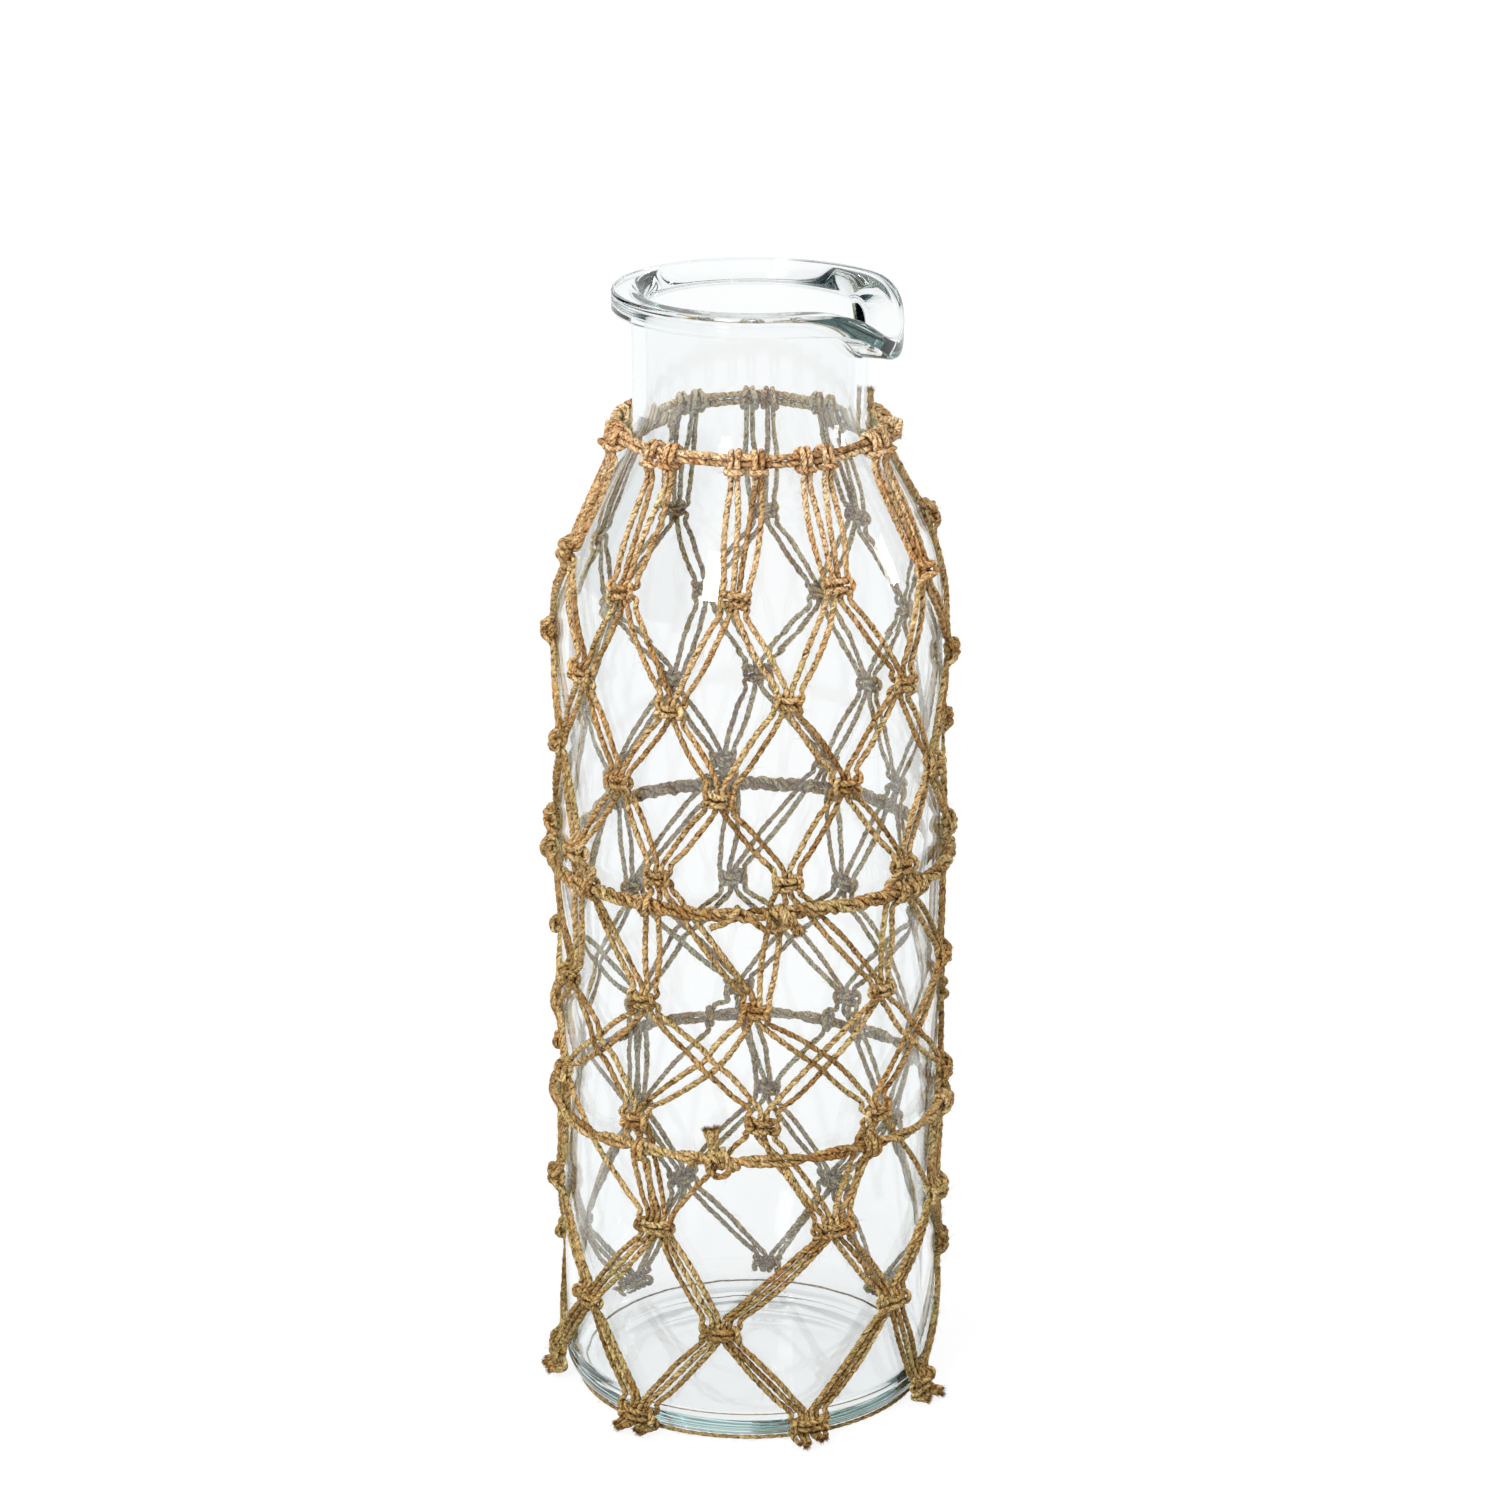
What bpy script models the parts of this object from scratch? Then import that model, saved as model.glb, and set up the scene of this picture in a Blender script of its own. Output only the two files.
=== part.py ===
"""A clear glass bottle vase with a pouring spout, wrapped in a knotted jute net.

Units are metres, +Z is up. The origin is the centre of the flat base, where the
vase stands, and the spout points along +X.

The glass is one turned body whose rim is pulled out and down at the spout. The
net is twenty cords. Each is doubled over the neck ring in a lark's head, so it
has two legs, and both legs run down through nine rows of knots to the heel.
Three thicker ring cords and one thin base cord hold the net to the glass.
"""

import math

import bpy
import numpy as np

# Glass, outside. The body, the shoulder, the neck and the rim stand on each
# other, and their four heights add up to the bottle's.
BODY_RADIUS = 0.050
BODY_HEIGHT = 0.229
SHOULDER_HEIGHT = 0.0372
SHOULDER_HOLLOW = 0.014
SHOULDER_CROWN = 0.055
NECK_RADIUS = 0.0301
NECK_HEIGHT = 0.0281
HEEL_ROUND = 0.0082

# Glass, inside
BODY_WALL = 0.003
NECK_WALL = 0.0036
FLOOR_THICKNESS = 0.005
FLOOR_ROUND = 0.006
MOUTH_ROUND = 0.0042

# Rim and spout
RIM_OVERHANG = 0.0052
RIM_DEPTH = 0.0057
RIM_ROUND = 0.0010
SPOUT_DROP = 0.0103
SPOUT_REACH = 0.0041
SPOUT_NECK_LENGTH = 0.022
SPOUT_DROP_ANGLE = math.radians(22.6)
SPOUT_REACH_ANGLE = math.radians(55.0)
BORE_REACH_ANGLE = math.radians(30.0)

# Cords
STRAND = 0.0018
RING_CORD = 0.0030
BASE_CORD = 0.0011
CLEARANCE = 0.0003
KNOT_STANDOFF = 0.0010
CHORD_ALLOWANCE = 0.0004
NECK_RING_DROP = 0.0042
BASE_KNOT_HEIGHT = 0.0062
KNOT_HALF_HEIGHT = 0.0030
STRAND_END_HEIGHT = 0.0014
END_SPREAD = 1.2

# Facets
TURN_STEPS = 48
RING_STEPS = 44
STRAND_SIDES_LEVEL = 0
RING_SIDES_LEVEL = 1
WIDEST_STEP = 20.0
TALLEST_STEP = 0.012
SLOPE_STEP = 0.0005
SHARP_EDGE = math.radians(40)

# Heights and radii that follow for the glass
SHOULDER_FOOT = BODY_HEIGHT
SHOULDER_TOP = SHOULDER_FOOT + SHOULDER_HEIGHT
RIM_UNDERSIDE = SHOULDER_TOP + NECK_HEIGHT
BOTTLE_HEIGHT = RIM_UNDERSIDE + RIM_DEPTH
BORE_RADIUS = NECK_RADIUS - NECK_WALL
RIM_RADIUS = NECK_RADIUS + RIM_OVERHANG

# Distances that follow for the cords
NECK_RING_HEIGHT = SHOULDER_TOP - NECK_RING_DROP
STRAND_RADIUS = STRAND / 2
PITCH = STRAND + CLEARANCE
REST_LIFT = STRAND_RADIUS + CLEARANCE + CHORD_ALLOWANCE
KNOT_LIFT = STRAND_RADIUS + CLEARANCE + KNOT_STANDOFF
RING_RADIUS = RING_CORD / 2
RING_LIFT = REST_LIFT + STRAND_RADIUS + CLEARANCE + RING_RADIUS
WRAP_RADIUS = RING_RADIUS + CLEARANCE + STRAND_RADIUS
STAGGER = 0.45 * PITCH
OVER_LIFT = KNOT_LIFT + PITCH
HEAD_BAR_OUT = 0.45 * WRAP_RADIUS
HEAD_BAR_DROP = WRAP_RADIUS + 1.2 * PITCH
HEAD_TURN_DROP = WRAP_RADIUS + 1.4 * PITCH
HEAD_DROP = WRAP_RADIUS + 3.0 * PITCH

# The net is stretched from the neck ring to the base knots. Each row of knots is
# a share of that drop, then the knots' angles in degrees, left to right as seen
# from outside, and how far each sits above its row, in millimetres.
NECK_ANGLES = (-6, 34, 68, 104, 140, 176, 212, 250, 287, 316)
KNOT_ROWS = (
    (0.121, (-8, 32, 71, 104, 134, 167, 217, 249, 284, 315),
     (0, 6, -2, -4, -2, -3, 3, -1, 0, 2)),
    (0.220, (13, 50, 86, 122, 158, 194, 234, 266, 299, 336),
     (0, 1, 0, 0, 0, 3, 1, -3, 0, 0)),
    (0.315, (-7, 32, 68, 106, 134, 176, 217, 249, 280, 316),
     (-2, 1, 1, 0, 0, 0, 2, 0, -1, 1)),
    (0.407, (16, 54, 84, 117, 158, 194, 230, 262, 299, 337),
     (-1, -1, 0, -1, 0, -1, 0, 0, 0, -1)),
    (0.541, (5, 41, 77, 114, 149, 185, 225, 257, 290, 329),
     (0, 0, 0, -1, 1, 0, -1, 0, 0, 1)),
    (0.672, (8, 40, 76, 112, 148, 184, 218, 254, 292, 327),
     (0, 0, 0, 0, 0, 0, 2, 0, 2, 1)),
    (0.789, (0, 56, 103, 149, 207, 260, 313),
     (-2, 0, 0, -1, -1, 1, 1)),
    (0.890, (28, 80, 131, 182, 233, 280, 335),
     (0, 0, 0, 0, -1, -1, 1)),
    (1.000, (-9, 60, 103, 150, 205, 254, 306),
     (0, 0, 0, 0, 1, 0, 0)),
)
MIDDLE_RING_SHARE = 0.4375
LOWER_RING_SHARE = 0.703

# Between the fifth and sixth rows the legs cross without a knot
CROSSING_SHARE = 0.602
CROSSING_ANGLES = (23, 59, 95, 131, 167, 203, 240, 277, 310, 344)

# The rows that come next below the middle ring, the crossings and the lower
# ring, counted from nought
ROW_UNDER_MIDDLE_RING = 4
ROW_UNDER_CROSSINGS = 5
ROW_UNDER_LOWER_RING = 6

# Ten columns of four legs above the lower ring become seven below it
COLUMNS = len(NECK_ANGLES)
LEGS = 4 * COLUMNS
LOWER_GROUPS = (6, 6, 4, 6, 6, 6, 6)
LOWER_FIRST_LEG = -1

# Where each ring is tied and how far its ends overlap, in degrees, and the
# length of the tail beyond the tie
NECK_TIE = 11.5
MIDDLE_TIE = 301.0
LOWER_TIE = 274.0
TIE_OVERLAP = 6.0
TAIL_LENGTH = 0.008


def fillet(before, corner, after, radius, steps):
    """Points of the arc that rounds a corner between two other points."""
    corner = np.array(corner)
    incoming = corner - np.array(before)
    outgoing = np.array(after) - corner
    incoming = incoming / np.linalg.norm(incoming)
    outgoing = outgoing / np.linalg.norm(outgoing)
    turn = math.acos(float(np.clip(incoming @ outgoing, -1, 1)))
    start = corner - incoming * radius * math.tan(turn / 2)
    normal = np.array((-incoming[1], incoming[0]))
    if normal @ outgoing < 0:
        normal = -normal
    centre = start + normal * radius
    angles = np.linspace(0, turn, steps + 1)
    return [tuple(centre + radius * (incoming * math.sin(a) - normal * math.cos(a)))
            for a in angles]


def rounded(corners):
    """A line through (radius, height, rounding, steps) corners."""
    points = []
    for index, (x, z, radius, steps) in enumerate(corners):
        if radius:
            before = corners[index - 1][:2]
            after = corners[index + 1][:2]
            points += fillet(before, (x, z), after, radius, steps)
        else:
            points.append((x, z))
    return points


def outer_corners(detail=1):
    """The outside of the glass from under the rim to the centre of the base."""
    return [(NECK_RADIUS, RIM_UNDERSIDE, 0, 0),
            (NECK_RADIUS, RIM_UNDERSIDE - SPOUT_NECK_LENGTH / 2, 0, 0),
            (NECK_RADIUS, SHOULDER_TOP, SHOULDER_HOLLOW, 3 * detail),
            (BODY_RADIUS, SHOULDER_FOOT, SHOULDER_CROWN, 4 * detail),
            (BODY_RADIUS, 0, HEEL_ROUND, 3 * detail),
            (0, 0, 0, 0)]


def inner_corners():
    """The inside of the glass from the centre of the floor to under the rim.

    The slope of the shoulder is moved inwards by the wall, and meets the bore
    and the inside of the body where those lines cross it.
    """
    body_inside = BODY_RADIUS - BODY_WALL
    run = BODY_RADIUS - NECK_RADIUS
    fall = SHOULDER_TOP - SHOULDER_FOOT
    shift = BODY_WALL * math.hypot(run, fall) / run

    def slope_height(radius):
        return SHOULDER_TOP - shift - (radius - NECK_RADIUS) * fall / run

    return [(0, FLOOR_THICKNESS, 0, 0),
            (body_inside, FLOOR_THICKNESS, FLOOR_ROUND, 2),
            (body_inside, slope_height(body_inside), SHOULDER_CROWN - BODY_WALL, 3),
            (BORE_RADIUS, slope_height(BORE_RADIUS), SHOULDER_HOLLOW + BODY_WALL, 2),
            (BORE_RADIUS, RIM_UNDERSIDE, 0, 0)]


def rim_corners():
    """The rim from the bore over the top to its outer lower edge."""
    return [(BORE_RADIUS, BOTTLE_HEIGHT, MOUTH_ROUND, 2),
            (RIM_RADIUS, BOTTLE_HEIGHT, RIM_ROUND, 2),
            (RIM_RADIUS, RIM_UNDERSIDE, RIM_ROUND, 1)]


def outer_line():
    """Heights and radii of the outside, going up, for the cords to lie on.

    Below the heel the net hangs straight, so the heel is left square here.
    """
    points = rounded(outer_corners(detail=8))
    line = [(z, r) for r, z in points if z > HEEL_ROUND]
    line.append((HEEL_ROUND, BODY_RADIUS))
    line.append((-BODY_RADIUS, BODY_RADIUS))
    return np.array(sorted(line))


OUTER_LINE = outer_line()


def glass_frame(height):
    """Radius of the glass at a height, and its outward normal (radial, up)."""
    heights, radii = OUTER_LINE[:, 0], OUTER_LINE[:, 1]
    radius = float(np.interp(height, heights, radii))
    spread = float(np.interp(height + SLOPE_STEP, heights, radii)
                   - np.interp(height - SLOPE_STEP, heights, radii))
    length = math.hypot(spread, 2 * SLOPE_STEP)
    return radius, (2 * SLOPE_STEP / length, -spread / length)


def on_glass(angle, height, lift, side=0.0, up=0.0):
    """A point beside the glass: lift is along its normal, side is to the right
    round it, up is along its slope, and the angle is in degrees."""
    radius, (out, rise) = glass_frame(height)
    x = radius + lift * out - up * rise
    turn = math.radians(angle) + side / x
    return (x * math.cos(turn), x * math.sin(turn), height + lift * rise + up * out)


def net_height(share, above=0.0):
    """Height of a row of the net, from its share of the drop."""
    drop = NECK_RING_HEIGHT - BASE_KNOT_HEIGHT
    return NECK_RING_HEIGHT - share * drop + above * 0.001


def near(angle, reference):
    """The same angle, written within half a turn of another."""
    return reference + (angle - reference + 180) % 360 - 180


def knot_groups():
    """For each row, the legs in each knot from left to right."""
    columns = range(COLUMNS)
    upright = [[4 * c, 4 * c + 1, 4 * c + 2, 4 * c + 3] for c in columns]
    between = [[(4 * c + i) % LEGS for i in (2, 3, 4, 5)] for c in columns]
    crossed = [[(4 * c + i) % LEGS for i in (-2, -1, 4, 5)] for c in columns]
    order = [leg for group in crossed for leg in group]
    lower = []
    first = LOWER_FIRST_LEG
    for count in LOWER_GROUPS:
        lower.append([order[(first + i) % LEGS] for i in range(count)])
        first += count
    lower_between = []
    for index, group in enumerate(lower):
        following = lower[(index + 1) % len(lower)]
        lower_between.append(group[len(group) // 2:] + following[:len(following) // 2])
    return [upright, between, upright, between, upright, crossed,
            lower, lower_between, lower]


KNOT_GROUPS = knot_groups()


def knot_of(row, leg):
    """Angle, height, place and size of the knot that holds a leg in a row."""
    share, angles, nudges = KNOT_ROWS[row]
    for index, group in enumerate(KNOT_GROUPS[row]):
        if leg in group:
            height = net_height(share, nudges[index])
            return angles[index], height, group.index(leg), len(group)
    raise ValueError("no knot for leg")


def bend_rank(row, leg, other_row):
    """How many legs of the same knot bend inside this one, on the way to
    another row. Each bends a little further from the knot than the last."""
    angle, _, place, count = knot_of(row, leg)
    if not 0 <= other_row < len(KNOT_ROWS):
        return min(place, count - 1 - place)
    group = next(group for group in KNOT_GROUPS[row] if leg in group)
    goes_right = [near(knot_of(other_row, one)[0], angle) > angle for one in group]
    if goes_right[place]:
        return sum(goes_right[place + 1:])
    return place - sum(goes_right[:place])


def knot_points(row, leg):
    """A leg's points through one knot, as (angle, height, lift, side).

    The legs run side by side. The leftmost goes across the front of the others
    to the right and back, which makes the two bars of a square knot.
    """
    angle, height, place, count = knot_of(row, leg)
    side = (place - (count - 1) / 2) * PITCH
    reach = KNOT_HALF_HEIGHT + bend_rank(row, leg, row - 1) * STAGGER
    points = [(angle, height + reach, KNOT_LIFT, side)]
    if place == 0:
        radius = glass_frame(height)[0] + OVER_LIFT
        bar_lift = OVER_LIFT + radius * (1 - math.cos(side / radius))
        for up, across in ((0.5, side), (0.5, -side), (-0.5, -side), (-0.5, side)):
            points.append((angle, height + up * PITCH, bar_lift, across))
    reach = KNOT_HALF_HEIGHT + bend_rank(row, leg, row + 1) * STAGGER
    points.append((angle, height - reach, KNOT_LIFT, side))
    return points


def crossing_point(leg):
    """A leg's point where it crosses others between the fifth and sixth rows."""
    column, place = divmod(leg, 4)
    goes_right = place >= 2
    index = column if goes_right else (column - 1) % COLUMNS
    outward = 1 if place in (0, 3) else -1
    diagonal = outward * PITCH * math.sqrt(0.5) / 2
    side = diagonal if goes_right else -diagonal
    lift = OVER_LIFT if goes_right else REST_LIFT
    return CROSSING_ANGLES[index], net_height(CROSSING_SHARE) + diagonal, lift, side


def at_height(start, end, height, lift):
    """The point of a straight run between two points that is at a height."""
    share = (start[1] - height) / (start[1] - end[1])
    turn = near(end[0], start[0]) - start[0]
    side = start[3] + (end[3] - start[3]) * share
    return start[0] + turn * share, height, lift, side


def span(start, end):
    """Points between two others, close enough together to clear the glass."""
    turn = near(end[0], start[0]) - start[0]
    pieces = math.ceil(abs(turn) / WIDEST_STEP)
    if start[1] > SHOULDER_FOOT - SHOULDER_CROWN / 2:
        pieces = max(pieces, math.ceil((start[1] - end[1]) / TALLEST_STEP))
    heights = [start[1] + (end[1] - start[1]) * i / pieces for i in range(1, pieces)]
    return [at_height(start, end, height, REST_LIFT) for height in heights]


def leg_route(leg):
    """One leg from below its lark's head to its cut end."""
    knots = [knot_points(row, leg) for row in range(len(KNOT_ROWS))]
    middle_ring = net_height(MIDDLE_RING_SHARE)
    lower_ring = net_height(LOWER_RING_SHARE)
    route = []
    for row, points in enumerate(knots):
        if route:
            stops = []
            if row == ROW_UNDER_MIDDLE_RING:
                stops = [at_height(route[-1], points[0], middle_ring, REST_LIFT)]
            elif row == ROW_UNDER_CROSSINGS:
                stops = [crossing_point(leg)]
            elif row == ROW_UNDER_LOWER_RING:
                stops = [at_height(route[-1], points[0], lower_ring, REST_LIFT)]
            for stop in stops + [points[0]]:
                route += span(route[-1], stop)
                route.append(stop)
            route += points[1:]
        else:
            route = list(points)
    angle, _, lift, side = route[-1]
    route.append((angle, STRAND_END_HEIGHT, lift, side * END_SPREAD))
    return route


def head_angle(cord):
    """Angle of a cord's lark's head on the neck ring, in degrees."""
    column, second = divmod(cord, 2)
    radius = glass_frame(NECK_RING_HEIGHT)[0] + REST_LIFT
    half_spacing = math.degrees(2 * PITCH / radius)
    return NECK_ANGLES[column] + (half_spacing if second else -half_spacing)


def head_points(cord, right):
    """Half of a lark's head, from the bar in front to the leg below.

    Each row is (out, up, side): out and up from the ring's centre. The cord
    comes from the bar behind the ring, over it and down its front, and then
    passes back between the ring and the bar.
    """
    wrap = WRAP_RADIUS
    corner = wrap * math.tan(math.radians(22.5))
    low_corner = -1.15 * corner
    leg_out = REST_LIFT - RING_LIFT
    inner, outer = 0.5 * PITCH, 1.5 * PITCH
    rows = ((HEAD_BAR_OUT, -HEAD_BAR_DROP, outer),
            (-wrap, low_corner, outer),
            (-wrap, corner, outer),
            (-corner, wrap, outer),
            (corner, wrap, inner),
            (wrap, corner, inner),
            (wrap, low_corner, inner),
            (leg_out, -HEAD_TURN_DROP, inner),
            (leg_out, -HEAD_DROP, inner))
    sign = 1 if right else -1
    return [on_glass(head_angle(cord), NECK_RING_HEIGHT, RING_LIFT + out, sign * side, up)
            for out, up, side in rows]


def below_head(cord, right):
    """Where a leg leaves its lark's head, as (angle, height, lift, side)."""
    side = 0.5 * PITCH if right else -0.5 * PITCH
    out = glass_frame(NECK_RING_HEIGHT)[1][0]
    return head_angle(cord), NECK_RING_HEIGHT - HEAD_DROP * out, REST_LIFT, side


def cord_points(cord):
    """The whole of a net cord, from one cut end over the ring to the other."""
    halves = []
    for right in (False, True):
        leg = 2 * cord + (1 if right else 0)
        route = leg_route(leg)
        start = below_head(cord, right)
        points = head_points(cord, right)
        points += [on_glass(*stop) for stop in span(start, route[0]) + route]
        halves.append(points)
    return halves[0][::-1] + halves[1]


def ring_points(height, tie, tail_up):
    """A ring cord round the glass, tied where its end passes over its start."""
    beside = RING_CORD + CLEARANCE
    points = []
    for step in range(RING_STEPS):
        angle = tie + TIE_OVERLAP / 2 + step * (360 - TIE_OVERLAP) / (RING_STEPS - 1)
        points.append(on_glass(angle, height, RING_LIFT))
    direction = 1 if tail_up else -1
    points.append(on_glass(tie, height, RING_LIFT, 0, direction * beside))
    points.append(on_glass(tie + TIE_OVERLAP, height, RING_LIFT, 0, direction * beside))
    tail_end = height + direction * (beside + TAIL_LENGTH)
    points.append(on_glass(tie + TIE_OVERLAP, tail_end, RING_LIFT))
    return points


def base_points():
    """The thin cord that lies in the hollow between the heel and the floor."""
    offset = HEEL_ROUND + CLEARANCE + BASE_CORD / 2
    tilt = math.asin((HEEL_ROUND - BASE_CORD / 2 - 2 * CLEARANCE) / offset)
    radius = BODY_RADIUS - HEEL_ROUND + offset * math.cos(tilt)
    height = HEEL_ROUND - offset * math.sin(tilt)
    turns = [2 * math.pi * step / RING_STEPS for step in range(RING_STEPS)]
    return [(radius * math.cos(a), radius * math.sin(a), height) for a in turns]


def clear_scene():
    """Remove what the file holds before the vase is made."""
    for item in list(bpy.data.objects):
        bpy.data.objects.remove(item, do_unlink=True)


def material(name, colour, roughness, transmission=0.0):
    """A Principled material for one object."""
    made = bpy.data.materials.new(name)
    made.use_nodes = True
    shader = made.node_tree.nodes["Principled BSDF"]
    shader.inputs["Base Color"].default_value = (*colour, 1.0)
    shader.inputs["Roughness"].default_value = roughness
    shader.inputs["Metallic"].default_value = 0.0
    shader.inputs["Transmission Weight"].default_value = transmission
    return made


def jute(name):
    """Dry golden-tan jute."""
    return material(name + "_jute", (0.50, 0.30, 0.13), 0.9)


def spout_pull(mesh):
    """Pull the rim out and down round +X to make the pouring spout.

    The neck shortens there and stays straight. The rim reaches out over it, and
    the bore flares within the depth of the rim and less far round than the rim.
    """
    for vertex in mesh.vertices:
        x, y, z = vertex.co
        shortened = min(max((z - RIM_UNDERSIDE) / SPOUT_NECK_LENGTH + 1, 0), 1)
        if shortened > 0:
            turn = math.atan2(y, x)
            radius = math.hypot(x, y)
            raised = (z - RIM_UNDERSIDE) / RIM_DEPTH
            overhung = (radius - NECK_RADIUS) / RIM_OVERHANG
            flared = min(max(raised, overhung, 0), 1)
            across = min(max((radius - BORE_RADIUS) / (RIM_RADIUS - BORE_RADIUS), 0), 1)
            spread = BORE_REACH_ANGLE + (SPOUT_REACH_ANGLE - BORE_REACH_ANGLE) * across
            reach = SPOUT_REACH * math.exp(-(turn / spread) ** 2)
            drop = SPOUT_DROP * math.exp(-(turn / SPOUT_DROP_ANGLE) ** 2)
            radius += reach * flared
            vertex.co = (radius * math.cos(turn), radius * math.sin(turn),
                         z - drop * shortened)


def glass_bottle(collection):
    """The bottle: a turned profile, then the spout."""
    profile = rounded(inner_corners() + rim_corners() + outer_corners())
    mesh = bpy.data.meshes.new("bottle_profile")
    edges = [(i, i + 1) for i in range(len(profile) - 1)]
    mesh.from_pydata([(r, 0, z) for r, z in profile], edges, [])
    turned = bpy.data.objects.new("bottle_turning", mesh)
    collection.objects.link(turned)
    screw = turned.modifiers.new("Turn", 'SCREW')
    screw.axis = 'Z'
    screw.angle = 2 * math.pi
    screw.steps = TURN_STEPS
    screw.render_steps = TURN_STEPS
    screw.use_merge_vertices = True
    screw.merge_threshold = 0.00001
    bpy.context.view_layer.update()
    evaluated = turned.evaluated_get(bpy.context.evaluated_depsgraph_get())
    solid = bpy.data.meshes.new_from_object(evaluated)
    bpy.data.objects.remove(turned, do_unlink=True)
    spout_pull(solid)
    solid.name = "glass_bottle"
    solid.shade_smooth()
    solid.set_sharp_from_angle(angle=SHARP_EDGE)
    bottle = bpy.data.objects.new("glass_bottle", solid)
    bottle.data.materials.append(material("clear_glass", (0.93, 0.97, 0.96), 0.02, 1.0))
    collection.objects.link(bottle)


def cord(collection, name, points, diameter, level, closed=False):
    """A round cord along straight runs between its points."""
    curve = bpy.data.curves.new(name, 'CURVE')
    curve.dimensions = '3D'
    curve.bevel_depth = diameter / 2
    curve.bevel_resolution = level
    curve.use_fill_caps = not closed
    spline = curve.splines.new('POLY')
    spline.points.add(len(points) - 1)
    for target, point in zip(spline.points, points):
        target.co = (*point, 1.0)
    spline.use_cyclic_u = closed
    spline.use_smooth = True
    made = bpy.data.objects.new(name, curve)
    made.data.materials.append(jute(name))
    collection.objects.link(made)


def build():
    """Make the vase."""
    clear_scene()
    parts = bpy.data.collections.new("bottle_vase")
    bpy.context.scene.collection.children.link(parts)
    glass_bottle(parts)
    cord(parts, "neck_ring_cord", ring_points(NECK_RING_HEIGHT, NECK_TIE, True),
         RING_CORD, RING_SIDES_LEVEL)
    cord(parts, "middle_ring_cord",
         ring_points(net_height(MIDDLE_RING_SHARE), MIDDLE_TIE, False),
         RING_CORD, RING_SIDES_LEVEL)
    cord(parts, "lower_ring_cord",
         ring_points(net_height(LOWER_RING_SHARE), LOWER_TIE, True),
         RING_CORD, RING_SIDES_LEVEL)
    cord(parts, "base_ring_cord", base_points(), BASE_CORD, STRAND_SIDES_LEVEL,
         closed=True)
    for index in range(LEGS // 2):
        cord(parts, "net_cord_%02d" % (index + 1), cord_points(index),
             STRAND, STRAND_SIDES_LEVEL)


build()
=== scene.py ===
"""Looks of the clear glass bottle vase in its knotted jute net.

Units are metres. The frame is the part's own: +Z is up, the origin is the centre
of the base, and the spout points along +X. The glass is turned finely from the
same sizes as the part. Every cord follows the part's route as a real two-ply
rope, with true square knots, lark's heads and frayed ends.
"""

import math
import random

import bpy
import numpy as np
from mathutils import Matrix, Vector, kdtree, noise

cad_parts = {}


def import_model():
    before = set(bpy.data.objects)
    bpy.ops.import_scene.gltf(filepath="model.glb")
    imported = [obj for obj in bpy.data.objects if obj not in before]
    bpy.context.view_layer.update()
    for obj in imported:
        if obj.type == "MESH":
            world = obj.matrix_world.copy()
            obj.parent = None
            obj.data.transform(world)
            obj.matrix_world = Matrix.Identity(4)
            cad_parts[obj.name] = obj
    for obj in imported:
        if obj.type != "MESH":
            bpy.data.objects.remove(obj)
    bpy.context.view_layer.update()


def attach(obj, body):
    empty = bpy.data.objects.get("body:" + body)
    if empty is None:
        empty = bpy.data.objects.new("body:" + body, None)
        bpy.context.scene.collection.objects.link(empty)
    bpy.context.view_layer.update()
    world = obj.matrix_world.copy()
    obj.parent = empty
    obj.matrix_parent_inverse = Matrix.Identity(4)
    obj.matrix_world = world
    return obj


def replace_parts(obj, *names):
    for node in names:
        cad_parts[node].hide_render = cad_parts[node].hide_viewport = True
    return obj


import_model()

# Glass, as in the part
BODY_RADIUS = 0.050
BODY_HEIGHT = 0.229
SHOULDER_HEIGHT = 0.0372
SHOULDER_HOLLOW = 0.014
SHOULDER_CROWN = 0.055
NECK_RADIUS = 0.0301
NECK_HEIGHT = 0.0281
HEEL_ROUND = 0.0082
BODY_WALL = 0.003
NECK_WALL = 0.0036
FLOOR_THICKNESS = 0.005
FLOOR_ROUND = 0.006
MOUTH_ROUND = 0.0042
RIM_OVERHANG = 0.0052
RIM_DEPTH = 0.0057
RIM_ROUND = 0.0010
SPOUT_DROP = 0.0103
SPOUT_REACH = 0.0041
SPOUT_NECK_LENGTH = 0.022
SPOUT_DROP_ANGLE = math.radians(22.6)
SPOUT_REACH_ANGLE = math.radians(55.0)
BORE_REACH_ANGLE = math.radians(30.0)
SHOULDER_FOOT = BODY_HEIGHT
SHOULDER_TOP = SHOULDER_FOOT + SHOULDER_HEIGHT
RIM_UNDERSIDE = SHOULDER_TOP + NECK_HEIGHT
BOTTLE_HEIGHT = RIM_UNDERSIDE + RIM_DEPTH
BORE_RADIUS = NECK_RADIUS - NECK_WALL
RIM_RADIUS = NECK_RADIUS + RIM_OVERHANG

# Fineness of the glass, its faint waves and the hollow under its base
TURN_STEPS = 240
ARC_STEP = math.radians(6)
LONGEST_RUN = 0.0025
LONGEST_RIM_RUN = 0.0008
GLASS_WAVE = 0.00009
GLASS_WAVE_SIZE = 0.030
PUNT = 0.0020
PUNT_RADIUS = 0.040

# Jute cord: how thick it is in the net, the rings and round the base, its two
# plies, the steps along it and what it keeps clear of the glass
CORD = 0.00160
RING_CORD = 0.00185
BASE_CORD = 0.0011
LAY = 0.0056
PLY_OFFSET = 0.11
PLY_RADIUS = 0.40
PLY_SIDES = 10
CORD_STEP = 0.00045
CURVE_DENSITY = 1.6
LEAST_GAP = 1e-6
CORD_GAP = 0.0001
REST_LIFT = CORD / 2 + CORD_GAP

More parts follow.
